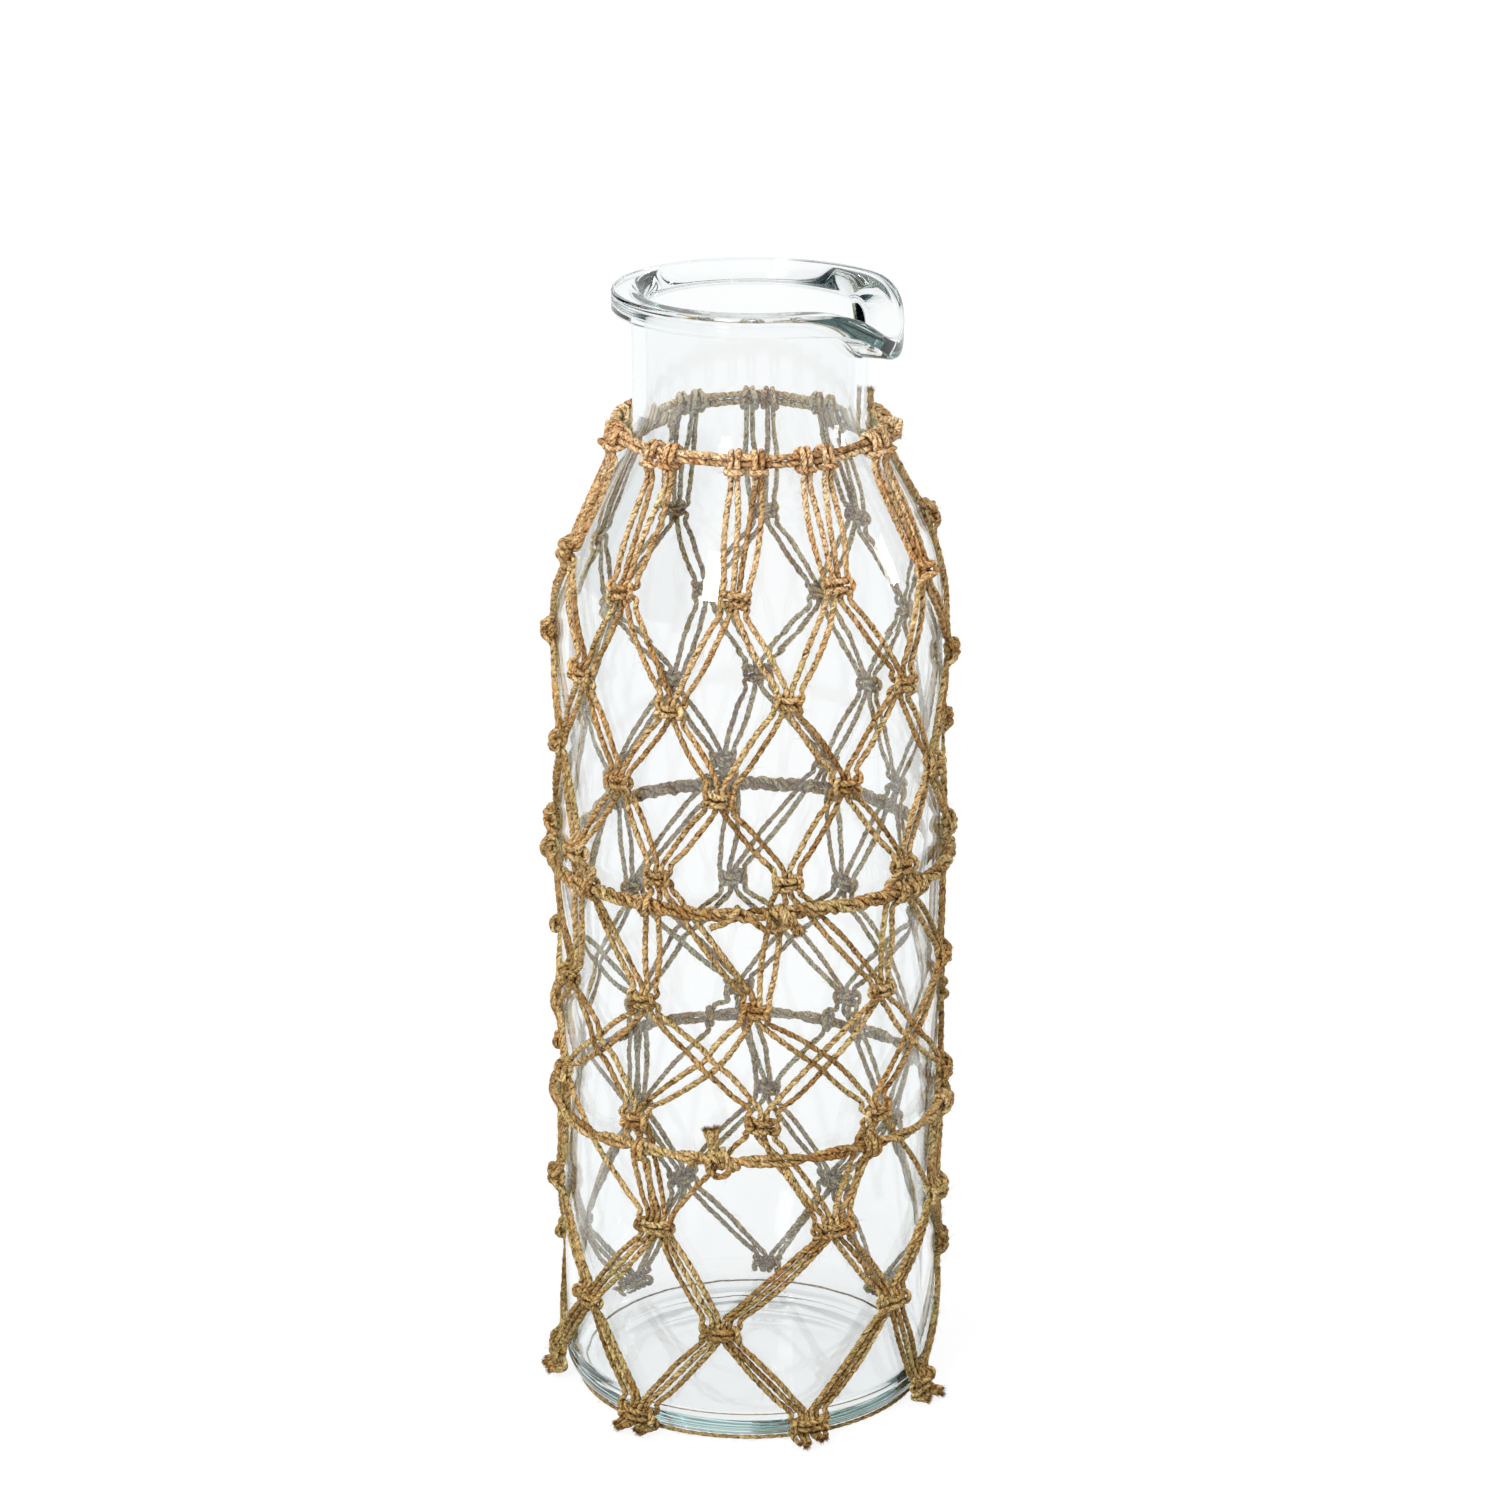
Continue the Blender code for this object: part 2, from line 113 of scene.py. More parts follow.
# How uneven a cord is: how far along its short, slow and tone changes repeat, how
# much they change its thickness, its lay and its plies, and the fibres' own turn
SHORT_REPEAT = 0.004
SLOW_REPEAT = 0.021
TONE_REPEAT = 0.007
SHORT_UNEVEN = 0.06
SLOW_UNEVEN = 0.05
LAY_UNEVEN = 0.14
PLY_UNEVEN = 0.13
WANDER_SWING = 1.6
FIBRE_TURN = -95.0

# Seeds of everything that varies by hand
SEED = 7
LEG_SEED = SEED + 1000
HEAD_SEED = SEED + 2000
RUN_SEED = SEED + 3000
TUFT_SEED = SEED + 4000
ROPE_SEED = 500
ABOUT_A_TURN = 6.28

# Net, as in the part: each row is a share of the drop from the neck ring to the
# base knots, the knots' angles in degrees, and millimetres above the row
NECK_RING_DROP = 0.0042
NECK_RING_HEIGHT = SHOULDER_TOP - NECK_RING_DROP
BASE_KNOT_HEIGHT = 0.0062
MILLIMETRE = 0.001
NECK_ANGLES = (-6, 34, 68, 104, 140, 176, 212, 250, 287, 316)
KNOT_ROWS = (
    (0.121, (-8, 32, 71, 104, 134, 167, 217, 249, 284, 315),
     (0, 6, -2, -4, -2, -3, 3, -1, 0, 2)),
    (0.220, (13, 50, 86, 122, 158, 194, 234, 266, 299, 336),
     (0, 1, 0, 0, 0, 3, 1, -3, 0, 0)),
    (0.315, (-7, 32, 68, 106, 134, 176, 217, 249, 280, 316),
     (-2, 1, 1, 0, 0, 0, 2, 0, -1, 1)),
    (0.407, (16, 54, 84, 117, 158, 194, 230, 262, 299, 337),
     (-1, -1, 0, -1, 0, -1, 0, 0, 0, -1)),
    (0.541, (5, 41, 77, 114, 149, 185, 225, 257, 290, 329),
     (0, 0, 0, -1, 1, 0, -1, 0, 0, 1)),
    (0.672, (8, 40, 76, 112, 148, 184, 218, 254, 292, 327),
     (0, 0, 0, 0, 0, 0, 2, 0, 2, 1)),
    (0.789, (0, 56, 103, 149, 207, 260, 313),
     (-2, 0, 0, -1, -1, 1, 1)),
    (0.890, (28, 80, 131, 182, 233, 280, 335),
     (0, 0, 0, 0, -1, -1, 1)),
    (1.000, (-9, 60, 103, 150, 205, 254, 306),
     (0, 0, 0, 0, 1, 0, 0)),
)
MIDDLE_RING_SHARE = 0.4375
LOWER_RING_SHARE = 0.703
CROSSING_SHARE = 0.602
CROSSING_ANGLES = (23, 59, 95, 131, 167, 203, 240, 277, 310, 344)
ROW_UNDER_MIDDLE_RING = 4
ROW_UNDER_CROSSINGS = 5
ROW_UNDER_LOWER_RING = 6
COLUMNS = len(NECK_ANGLES)
LEGS = 4 * COLUMNS
LOWER_GROUPS = (6, 6, 4, 6, 6, 6, 6)
LOWER_FIRST_LEG = -1
NECK_TIE = 11.5
MIDDLE_TIE = 301.0
LOWER_TIE = 274.0

# The ties: their frayed tails, then their other turns. Points are (side, up,
# lift) in cord thicknesses from the ring's centre, and a tail starts at its tip.
NECK_TIE_SHAPE = (
    (((-0.3, 6.9, -0.4), (-0.5, 5.4, -0.5), (-0.6, 4.0, -0.4), (-0.4, 2.2, 0.1), (0.1, 0.8, 1.2),
      (0.5, -0.7, 1.3), (0.7, -1.4, 0.3), (0.9, -0.6, -0.9), (1.1, 0.7, -0.8), (1.2, 1.3, 0.3),
      (1.0, 0.6, 1.5), (0.2, -0.2, 1.9), (-0.9, -0.6, 1.4), (-1.5, -0.3, 0.4)),
     ((3.6, -2.2, 0.8), (2.8, -1.4, 1.0), (1.9, -0.3, 1.3), (1.1, 0.9, 1.2), (0.2, 1.3, 0.6),
      (-0.5, 0.6, -0.6), (-0.7, -0.6, -0.7), (-0.5, -1.3, 0.4), (0.1, -0.9, 1.5), (0.9, 0.1, 2.1),
      (1.8, 0.5, 1.3), (2.4, 0.3, 0.3))),
    (),
)
MIDDLE_TIE_SHAPE = (
    (((0.1, -2.7, 1.1), (-0.5, -1.9, 1.3), (-1.2, -1.1, 1.5), (-2.0, -0.3, 1.7), (-2.9, 0.4, 1.4),
      (-3.6, 0.9, 0.6)),
     ((0.8, -2.4, 1.1), (0.1, -1.5, 1.3), (-0.5, -0.7, 1.5), (-1.2, 0.1, 1.5), (-1.9, 0.8, 0.9),
      (-2.3, 1.2, 0.2)),
     ((-11.5, -1.9, 0.4), (-10.6, -1.3, 1.0), (-9.8, -0.7, 1.4), (-9.0, 0.0, 1.5), (-8.3, 0.7, 0.9),
      (-7.9, 1.1, 0.2))),
    (((-6.8, -0.2, 0.5), (-5.9, -0.7, 1.1), (-5.0, -1.4, 1.2), (-4.1, -2.0, 1.1), (-3.1, -2.2, 1.0),
      (-2.2, -1.9, 1.1), (-1.4, -1.4, 1.2), (-0.7, -0.6, 1.2), (-0.4, 0.2, 0.7)),
     ((-4.6, 0.9, 0.2), (-4.2, 0.4, 1.1), (-3.9, -0.5, 1.7), (-3.3, -1.2, 1.3), (-2.9, -1.4, 0.3)),
     ((-2.8, 1.0, 0.3), (-2.2, 0.7, 1.3), (-1.8, -0.1, 1.9), (-1.7, -0.9, 1.4), (-1.9, -1.4, 0.3))),
)
LOWER_TIE_SHAPE = (
    (((1.1, 4.8, 0.5), (1.4, 3.7, 0.5), (1.8, 2.6, 0.6), (2.0, 1.5, 1.1), (1.9, 0.6, 1.7),
      (1.7, -0.3, 1.8), (2.1, -1.2, 1.4), (3.0, -2.0, 0.9), (4.0, -1.7, 0.8), (4.6, -0.7, 1.0),
      (4.2, 0.3, 1.6), (3.3, 0.9, 1.8), (2.2, 1.1, 1.5), (1.0, 0.9, 1.2), (0.0, 0.9, 0.9),
      (-0.6, 0.3, 0.6)),
     ((2.6, 5.1, 0.5), (2.5, 3.9, 0.5), (2.5, 2.7, 0.6), (2.6, 1.6, 1.0), (3.0, 0.7, 1.3),
      (3.3, -0.2, 0.9), (3.2, -0.9, 0.2)),
     ((1.9, 5.0, 0.9), (2.0, 3.8, 1.0), (2.2, 2.7, 1.1), (2.3, 1.7, 1.3), (2.5, 0.8, 1.2))),
    (((2.6, 1.9, 0.2), (3.1, 1.4, 1.1), (3.8, 0.6, 1.7), (4.5, -0.3, 1.5), (4.9, -1.0, 0.6)),
     ((3.4, 2.0, 0.2), (3.9, 1.4, 1.1), (4.6, 0.6, 1.5), (5.3, -0.2, 1.1), (5.6, -0.8, 0.3)),
     ((-1.0, -0.9, 0.1), (-0.9, 0.2, 0.9), (-0.4, 1.0, 1.3), (0.4, 1.1, 1.5), (1.2, 0.5, 1.5),
      (1.8, -0.3, 1.2), (2.2, -1.0, 0.5))),
)

# How each ring is laid: its count of cords, how far they stand from its middle
# outwards and upwards in cord thicknesses, the length of a turn of its twist, how
# far it wanders up and down, and its seed
NECK_RING = (2, 0.28, 0.48, 0.0, 0.0008, 11)
MIDDLE_RING = (3, 0.46, 0.64, 0.016, 0.0016, 12)
LOWER_RING = (2, 0.30, 0.50, 0.030, 0.0014, 13)
BASE_SEED = 41
RING_DEGREES = 4
RING_WAVES = 2.2
RING_LIFT = 1.36 * RING_CORD
RING_LEAST = 0.45 * RING_CORD
RING_DWELL = 0.40
RING_UNEVEN = 0.9
RING_SWAYS = 5
NECK_RING_LIFT = 0.0028
UNDER_BASE_CORD = 0.0002

# How the cords lie on each other and how loosely a hand ties them. LOOSE is a
# cord's thickness in a knot, and most other sizes are in cord thicknesses.
LOOSE = 1.13 * CORD
FILLER_PITCH = 0.84
MIRRORED_SHARE = 0.45
KNOT_SIZES = (0.94, 1.10)
KNOT_LOOPS = (0.88, 1.22)
KNOT_TILT = 9
CORE_SPREAD = 1.08
CORE_LIFT = 1.18
CORE_RAISED = 0.30
CROSSING_PITCH = 0.78 * CORD
RUN_STEP = 0.006
RUN_WANDER = 0.00016
PAIR_SPREAD = 0.42 * CORD
UNDER_RING = 0.42 * CORD
HITCHED_SHARE = 0.22
HEAD_PITCH = 0.92
HEAD_SPACING = 1.62
HEAD_DROPS = (1.75, 2.15)
HEAD_LENGTH = 4.2
HEAD_PART = 0.9
TUFT_LEANS = (1.1, 2.1)
TUFT_REACHES = (2.7, 3.7)
TUFT_HEIGHTS = (0.7, 1.5)
TUFT_PITCH = 0.80
TUFT_SLIP = (-0.0003, 0.0003)
TIP_SLIP = (-0.0004, 0.0006)

# Loose fibres, and the brushes of fibres at cut ends
FIBRES_PER_METRE = 520
FIBRE_RADIUS = 0.000036
FIBRE_LENGTHS = (0.0010, 0.0040)
FIBRE_JOINTS = 5
FIBRE_SIDES = 3
FIBRE_TAPER = 0.7
FIBRE_BEND = 0.55
FIBRE_SPIN = 1.9
FIBRE_LEANS = (0.6, 2.4)
FIBRE_ROOT = 0.42
FIBRE_TONE = 0.8
LOWEST_FIBRE = 0.00003
FRAY_FIBRES = 70
FRAY_RADIUS = 0.00008
FRAY_SPREAD = 0.45
FRAY_LENGTHS = (0.0007, 0.0019)
FRAY_ROOT = 0.0006
FRAY_TONE = 0.08
NEAR_FLOOR = 0.0012

# Crowding, for the painted shade between cords: every how many steps a cord's line
# is noted, how far others are looked for, how far along itself a cord is left out,
# how many points are counted at most, how much painted shade they give, and a place
# out of reach for those that are left
CROWD_STRIDE = 3
CROWD_REACH = 1.3 * CORD
CROWD_SELF = 1.6 * CORD
MOST_CROWDING = 24
CROWD_SHADE = 1.0
FAR_AWAY = 9.0

# Jute: its patches, specks and streaks to the metre or turn, the depth of its
# relief, and the painted light on the side that lies on the glass, a paler tint
# that stands in for the light coming through the glass
PATCH_SCALE = 95.0
SPECK_SCALE = 1300.0
STREAK_SCALE = (8.0, 420.0, 1.0)
JUTE_RELIEF = 0.00022
GLASS_SIDE_PAINTED_LIGHT = (0.86, 1.02, 1.05, 1)
INSIDE_STARTS = 0.2
INSIDE_FULL = -0.8

# Glass: its ripples to the metre and their depth, and its colour in the mass
RIPPLE_SCALE = 55.0
RIPPLE_DEPTH = 0.0006
GLASS_TINT = (0.80, 0.89, 0.885, 1)
GLASS_DENSITY = 16.0

# Camera, as fitted to the photograph's glass edges
CAMERA_PLACE = (0.3595, -1.0745, 0.55432)
CAMERA_TURN = (math.radians(71.55), 0.0, math.radians(18.5))
CAMERA_LENS = 109.65
CAMERA_SENSOR = 36.0
CAMERA_SIDE = -71.5

# Studio: where the fill light is strongest, its least and most, and where it is
# dark for the glass, with the edge of the dark. Places are degrees round from the
# camera's side and above the level.
LIT_SIDE = (-38.0, 42.0)
FILL = (0.24, 1.26)
DARK_SIDE = (-90.0, 10.0)
DARK_EDGE = (0.52, 0.72)
DARK = (0.015, 0.030, 0.038)
WHITE = (1, 1, 1, 1)
FLOOR_SIZE = 14.0
FLOOR_BELOW = 0.0001
FLOOR_COLOUR = (0.42, 0.42, 0.42, 1)
FLOOR_SHADOW = (0.16, 0.16, 0.16, 1)
FLOOR_GLOW = 0.87
# Each lamp: its place, its distance, its width and height, and its power
LAMPS = {"key_lamp": (-24.7, 25.5, 1.2, (0.19, 0.47), 7.5),
         "side_lamp": (98.0, 12.0, 1.1, (0.12, 0.30), 2.5)}

# Light paths long enough for the thick rim and heel
GLASS_BOUNCES = 48


def fillet(before, corner, after, radius):
    """Points of the arc that rounds a corner between two other points."""
    corner = np.array(corner)
    incoming = corner - np.array(before)
    outgoing = np.array(after) - corner
    incoming = incoming / np.linalg.norm(incoming)
    outgoing = outgoing / np.linalg.norm(outgoing)
    turn = math.acos(float(np.clip(incoming @ outgoing, -1, 1)))
    start = corner - incoming * radius * math.tan(turn / 2)
    normal = np.array((-incoming[1], incoming[0]))
    if normal @ outgoing < 0:
        normal = -normal
    centre = start + normal * radius
    steps = max(3, math.ceil(turn / ARC_STEP))
    angles = np.linspace(0, turn, steps + 1)
    return [tuple(centre + radius * (incoming * math.sin(a) - normal * math.cos(a)))
            for a in angles]


def rounded(corners):
    """A line through (radius, height, rounding) corners."""
    points = []
    for index, (x, z, radius) in enumerate(corners):
        if radius:
            before = corners[index - 1][:2]
            after = corners[index + 1][:2]
            points += fillet(before, (x, z), after, radius)
        else:
            points.append((x, z))
    return points


def outer_corners():
    """The outside of the glass from under the rim to the centre of the base."""
    return [(NECK_RADIUS, RIM_UNDERSIDE, 0),
            (NECK_RADIUS, SHOULDER_TOP, SHOULDER_HOLLOW),
            (BODY_RADIUS, SHOULDER_FOOT, SHOULDER_CROWN),
            (BODY_RADIUS, 0, HEEL_ROUND),
            (0, 0, 0)]


def inner_corners():
    """The inside of the glass from the centre of the floor to the bore."""
    body_inside = BODY_RADIUS - BODY_WALL
    run = BODY_RADIUS - NECK_RADIUS
    fall = SHOULDER_TOP - SHOULDER_FOOT
    shift = BODY_WALL * math.hypot(run, fall) / run

    def slope_height(radius):
        return SHOULDER_TOP - shift - (radius - NECK_RADIUS) * fall / run

    return [(0, FLOOR_THICKNESS, 0),
            (body_inside, FLOOR_THICKNESS, FLOOR_ROUND),
            (body_inside, slope_height(body_inside), SHOULDER_CROWN - BODY_WALL),
            (BORE_RADIUS, slope_height(BORE_RADIUS), SHOULDER_HOLLOW + BODY_WALL)]


def rim_corners():
    """The rim from the bore over the top to its outer lower edge."""
    return [(BORE_RADIUS, BOTTLE_HEIGHT, MOUTH_ROUND),
            (RIM_RADIUS, BOTTLE_HEIGHT, RIM_ROUND),
            (RIM_RADIUS, RIM_UNDERSIDE, RIM_ROUND)]


def outer_line():
    """Heights and radii of the outside, going up, for the cords to lie on."""
    line = [(z, r) for r, z in rounded(outer_corners()) if z > HEEL_ROUND]
    line.append((HEEL_ROUND, BODY_RADIUS))
    line.append((-BODY_RADIUS, BODY_RADIUS))
    return np.array(sorted(line))


OUTER_LINE = outer_line()
SLOPE_STEP = 0.0005


def glass_frame(height):
    """Radius of the glass at a height, and its outward normal (radial, up)."""
    heights, radii = OUTER_LINE[:, 0], OUTER_LINE[:, 1]
    radius = float(np.interp(height, heights, radii))
    spread = float(np.interp(height + SLOPE_STEP, heights, radii)
                   - np.interp(height - SLOPE_STEP, heights, radii))
    length = math.hypot(spread, 2 * SLOPE_STEP)
    return radius, (2 * SLOPE_STEP / length, -spread / length)


def on_glass(angle, height, lift, side=0.0, up=0.0):
    """A point beside the glass: lift is along its normal, side is to the right
    round it, up is along its slope, and the angle is in degrees."""
    radius, (out, rise) = glass_frame(height)
    x = radius + lift * out - up * rise
    turn = math.radians(angle) + side / x
    return (x * math.cos(turn), x * math.sin(turn), height + lift * rise + up * out)


def net_height(share, above=0.0):
    """Height of a row of the net, from its share of the drop."""
    drop = NECK_RING_HEIGHT - BASE_KNOT_HEIGHT
    return NECK_RING_HEIGHT - share * drop + above * MILLIMETRE


def near(angle, reference):
    """The same angle, written within half a turn of another."""
    return reference + (angle - reference + 180) % 360 - 180


def knot_groups():
    """For each row, the legs in each knot from left to right."""
    columns = range(COLUMNS)
    upright = [[4 * c, 4 * c + 1, 4 * c + 2, 4 * c + 3] for c in columns]
    between = [[(4 * c + i) % LEGS for i in (2, 3, 4, 5)] for c in columns]
    crossed = [[(4 * c + i) % LEGS for i in (-2, -1, 4, 5)] for c in columns]
    order = [leg for group in crossed for leg in group]
    lower = []
    first = LOWER_FIRST_LEG
    for count in LOWER_GROUPS:
        lower.append([order[(first + i) % LEGS] for i in range(count)])
        first += count
    lower_between = []
    for index, group in enumerate(lower):
        following = lower[(index + 1) % len(lower)]
        lower_between.append(group[len(group) // 2:] + following[:len(following) // 2])
    return [upright, between, upright, between, upright, crossed,
            lower, lower_between, lower]


KNOT_GROUPS = knot_groups()


def knot_of(row, leg):
    """Number, angle, height, place and size of the knot that holds a leg."""
    share, angles, nudges = KNOT_ROWS[row]
    for index, group in enumerate(KNOT_GROUPS[row]):
        if leg in group:
            height = net_height(share, nudges[index])
            return index, angles[index], height, group.index(leg), len(group)
    raise ValueError("no knot for leg")


def both_halves(upper, sign):
    """A knot's cord from its upper half, whose last point is the bight's middle."""
    lower = [(side, -up, lift) for side, up, lift in upper[:-1]]
    return [(sign * side, up, lift) for side, up, lift in list(upper) + lower[::-1]]


def tying_points(half_width, loop, sign):
    """The cord of a square knot that makes both bars in front of the core.

    Points are (side, up, lift) in cord thicknesses. At the far side its bight
    goes behind both legs of the other cord.
    """
    edge = half_width + loop
    upper = ((-(half_width + 1.00), 1.80, 0.62), (-(edge + 0.10), 0.95, 0.70),
             (-(half_width + 0.70), 0.48, 0.95), (-0.75 * half_width, 0.50, 1.80),
             (0.0, 0.54, 2.10), (0.75 * half_width, 0.60, 1.95),
             (half_width + 0.42, 0.82, 1.50), (half_width + 0.88, 0.68, 0.95),
             (edge + 0.05, 0.0, 0.75))
    return both_halves(upper, sign)


def holding_points(half_width, loop, sign):
    """The other cord of a square knot. It passes behind the core twice, and its
    bight comes in front of both legs of the tying cord."""
    edge = half_width + loop
    upper = ((half_width + 1.00, 1.80, 0.75), (edge + 0.12, 1.00, 1.60),
             (half_width + 0.80, 0.42, 1.90), (half_width + 0.25, 0.30, 1.25),
             (0.5 * half_width, 0.32, 0.50), (-0.5 * half_width, 0.48, 0.50),
             (-(half_width + 0.38), 0.84, 1.10), (-(half_width + 0.82), 0.70, 1.75),
             (-(edge + 0.05), 0.0, 1.92))
    return both_halves(upper, sign)


def core_points(place, count):
    """One of the straight cords inside a square knot."""
    core = count - 2
    side = (place - 1 - (core - 1) / 2) * FILLER_PITCH
    lift = CORE_LIFT + (CORE_RAISED if core > 2 and place in (2, core - 1) else 0.0)
    return [(side * CORE_SPREAD, 1.75, 0.55), (side, 0.60, lift),
            (side, -0.60, lift), (side * CORE_SPREAD, -1.75, 0.55)]


def knot_points(row, leg):
    """A leg's points through one square knot, as (angle, height, lift, side)."""
    index, angle, height, place, count = knot_of(row, leg)
    hand = random.Random(SEED + 100 * row + index)
    mirrored = hand.random() < MIRRORED_SHARE
    size = hand.uniform(*KNOT_SIZES) * LOOSE
    loop = hand.uniform(*KNOT_LOOPS)
    tilt = math.radians(hand.uniform(-KNOT_TILT, KNOT_TILT))
    half_width = (count - 2) * FILLER_PITCH / 2
    if place == (count - 1 if mirrored else 0):
        local = tying_points(half_width, loop, -1 if mirrored else 1)
    elif place == (0 if mirrored else count - 1):
        local = holding_points(half_width, loop, -1 if mirrored else 1)
    else:
        local = core_points(place, count)
    points = []
    for side, up, lift in local:
        turned_side = side * math.cos(tilt) - up * math.sin(tilt)
        turned_up = up * math.cos(tilt) + side * math.sin(tilt)
        points.append((angle, height + turned_up * size, lift * size + CORD_GAP,
                       turned_side * size))
    return points


def crossing_point(leg):
    """A leg's point where it crosses others between the fifth and sixth rows."""
    column, place = divmod(leg, 4)
    goes_right = place >= 2
    index = column if goes_right else (column - 1) % COLUMNS
    diagonal = CROSSING_PITCH if place in (0, 3) else -CROSSING_PITCH
    side = diagonal if goes_right else -diagonal
    lift = REST_LIFT + CORD if goes_right else REST_LIFT
    return CROSSING_ANGLES[index], net_height(CROSSING_SHARE) + diagonal, lift, side


def at_height(start, end, height, lift):
    """The point of a straight run between two points that is at a height."""
    share = (start[1] - height) / (start[1] - end[1])
    turn = near(end[0], start[0]) - start[0]
    side = start[3] + (end[3] - start[3]) * share
    return start[0] + turn * share, height, lift, side


def run(start, end, hand, part=0.0):
    """Points of the taut run between two others, which parts sideways midway."""
    length = math.dist(on_glass(*start), on_glass(*end))
    pieces = max(2, math.ceil(length / RUN_STEP))
    points = []
    for i in range(1, pieces):
        share = i / pieces
        height = start[1] + (end[1] - start[1]) * share
        angle, height, lift, side = at_height(start, end, height, REST_LIFT)
        side += part * math.sin(math.pi * share) + hand.uniform(-RUN_WANDER, RUN_WANDER)
        points.append((angle, height, lift + hand.uniform(0, RUN_WANDER), side))
    return points


def pair_part(row, leg):
    """How far a leg parts from its pair or trio midway below a row's knot."""
    place, count = knot_of(row, leg)[3:]
    half = count // 2
    return PAIR_SPREAD * (2 * (place % half) / (half - 1) - 1)


def ring_stops(start, end, height, hand):
    """Where a leg meets a ring: it hitches once round it, or runs behind it."""
    angle, height, lift, side = at_height(start, end, height, UNDER_RING)
    if hand.random() > HITCHED_SHARE:
        return [(angle, height, lift, side)]
    way = LOOSE if near(end[0], start[0]) > start[0] else -LOOSE
    hitch = ((-0.45, 2.1, 0.60), (-0.45, 1.35, 1.45), (-0.38, 0.35, 2.45), (-0.22, -0.85, 2.25),
             (-0.05, -1.40, 1.20), (0.05, -0.70, 0.42), (0.18, 0.70, 0.42), (0.30, 1.40, 1.20),
             (0.42, 0.85, 2.25), (0.55, -0.35, 2.50), (0.60, -1.35, 1.55), (0.60, -2.15, 0.60))
    return [(angle, height + up * LOOSE, out * LOOSE + CORD_GAP, side + across * way)
            for across, up, out in hitch]


def leg_route(leg):
    """One leg from below its lark's head to its cut end."""
    hand = random.Random(LEG_SEED + leg)
    middle_ring = net_height(MIDDLE_RING_SHARE)
    lower_ring = net_height(LOWER_RING_SHARE)
    route = []
    for row in range(len(KNOT_ROWS)):
        points = knot_points(row, leg)
        if route:
            part = pair_part(row - 1, leg)
            stops = []
            if row == ROW_UNDER_MIDDLE_RING:
                stops = ring_stops(route[-1], points[0], middle_ring, hand)
            elif row == ROW_UNDER_CROSSINGS:
                stops = [crossing_point(leg)]
            elif row == ROW_UNDER_LOWER_RING:
                stops = ring_stops(route[-1], points[0], lower_ring, hand)
            if stops:
                route += run(route[-1], stops[0], hand, part) + stops
            route += run(route[-1], points[0], hand, part)
        route += points
    return route + loose_end(route[-1], leg, hand)


def loose_end(last, leg, hand):
    """The cut end below a base knot, bundled with its neighbours into a tuft."""
    index, angle, _, place, count = knot_of(len(KNOT_ROWS) - 1, leg)
    half = count // 2
    right = place >= half
    tuft = random.Random(TUFT_SEED + 2 * index + right)
    lean = (1 if right else -1) * tuft.uniform(*TUFT_LEANS) * LOOSE
    reach = tuft.uniform(*TUFT_REACHES) * LOOSE
    height = tuft.uniform(*TUFT_HEIGHTS) * LOOSE
    within = (place % half) - (half - 1) / 2
    side = lean + TUFT_PITCH * within * CORD + hand.uniform(*TUFT_SLIP)
    rise = 0.45 * CORD * (within % 2)
    return [(angle, 0.55 * height + 0.0016, 0.62 * reach, 0.6 * last[3] + 0.4 * side),
            (angle, height + rise, reach + hand.uniform(*TIP_SLIP), side)]


def head_angle(cord):
    """Angle of a cord's lark's head on the neck ring, in degrees."""
    column, second = divmod(cord, 2)
    radius = glass_frame(NECK_RING_HEIGHT)[0] + NECK_RING_LIFT
    half_spacing = math.degrees(HEAD_SPACING * LOOSE / radius)
    return NECK_ANGLES[column] + (half_spacing if second else -half_spacing)


def head_points(cord, right):
    """Half of a lark's head, from the bar in front to the leg below.

    Each row is (out, up, side) in cord thicknesses from the ring's centre.
    """
    drop = random.Random(HEAD_SEED + cord).uniform(*HEAD_DROPS)
    inner, outer = 0.5 * HEAD_PITCH, 1.08 * HEAD_PITCH
    rows = ((1.25, -drop, 0.30 * HEAD_PITCH),
            (0.75, -drop + 0.10, outer),
            (-0.35, -1.30, outer * 1.05),
            (-0.92, -0.20, outer * 0.95),
            (-0.75, 0.95, outer * 0.85),
            (0.0, 1.42, inner * 1.2),
            (0.80, 1.10, inner * 1.05),
            (1.00, 0.10, inner),
            (0.85, -0.95, inner),
            (0.10, -drop - 0.15, inner),
            (-0.75, -drop - 1.35, inner))
    sign = 1 if right else -1
    return [on_glass(head_angle(cord), NECK_RING_HEIGHT, NECK_RING_LIFT + out * LOOSE,
                     sign * side * LOOSE, up * LOOSE) for out, up, side in rows]


def below_head(cord, right):
    """Where a leg leaves its lark's head, as (angle, height, lift, side)."""
    side = 0.5 * HEAD_PITCH * LOOSE * (1 if right else -1)
    out = glass_frame(NECK_RING_HEIGHT)[1][0]
    return head_angle(cord), NECK_RING_HEIGHT - HEAD_LENGTH * LOOSE * out, REST_LIFT, side


def net_cord_points(cord):
    """The whole of a net cord, from one cut end over the ring to the other."""
    halves = []
    for right in (False, True):
        leg = 2 * cord + (1 if right else 0)
        hand = random.Random(RUN_SEED + leg)
        route = leg_route(leg)
        start = below_head(cord, right)
        points = head_points(cord, right)
        part = PAIR_SPREAD * (HEAD_PART if right else -HEAD_PART)
        points += [on_glass(*stop) for stop in run(start, route[0], hand, part) + route]
        halves.append(points)
    return halves[0][::-1] + halves[1]


def between(t, start, end, first, last):
    """What goes evenly from the first to the last as t goes from start to end."""
    return (end - t) / (end - start) * first + (t - start) / (end - start) * last


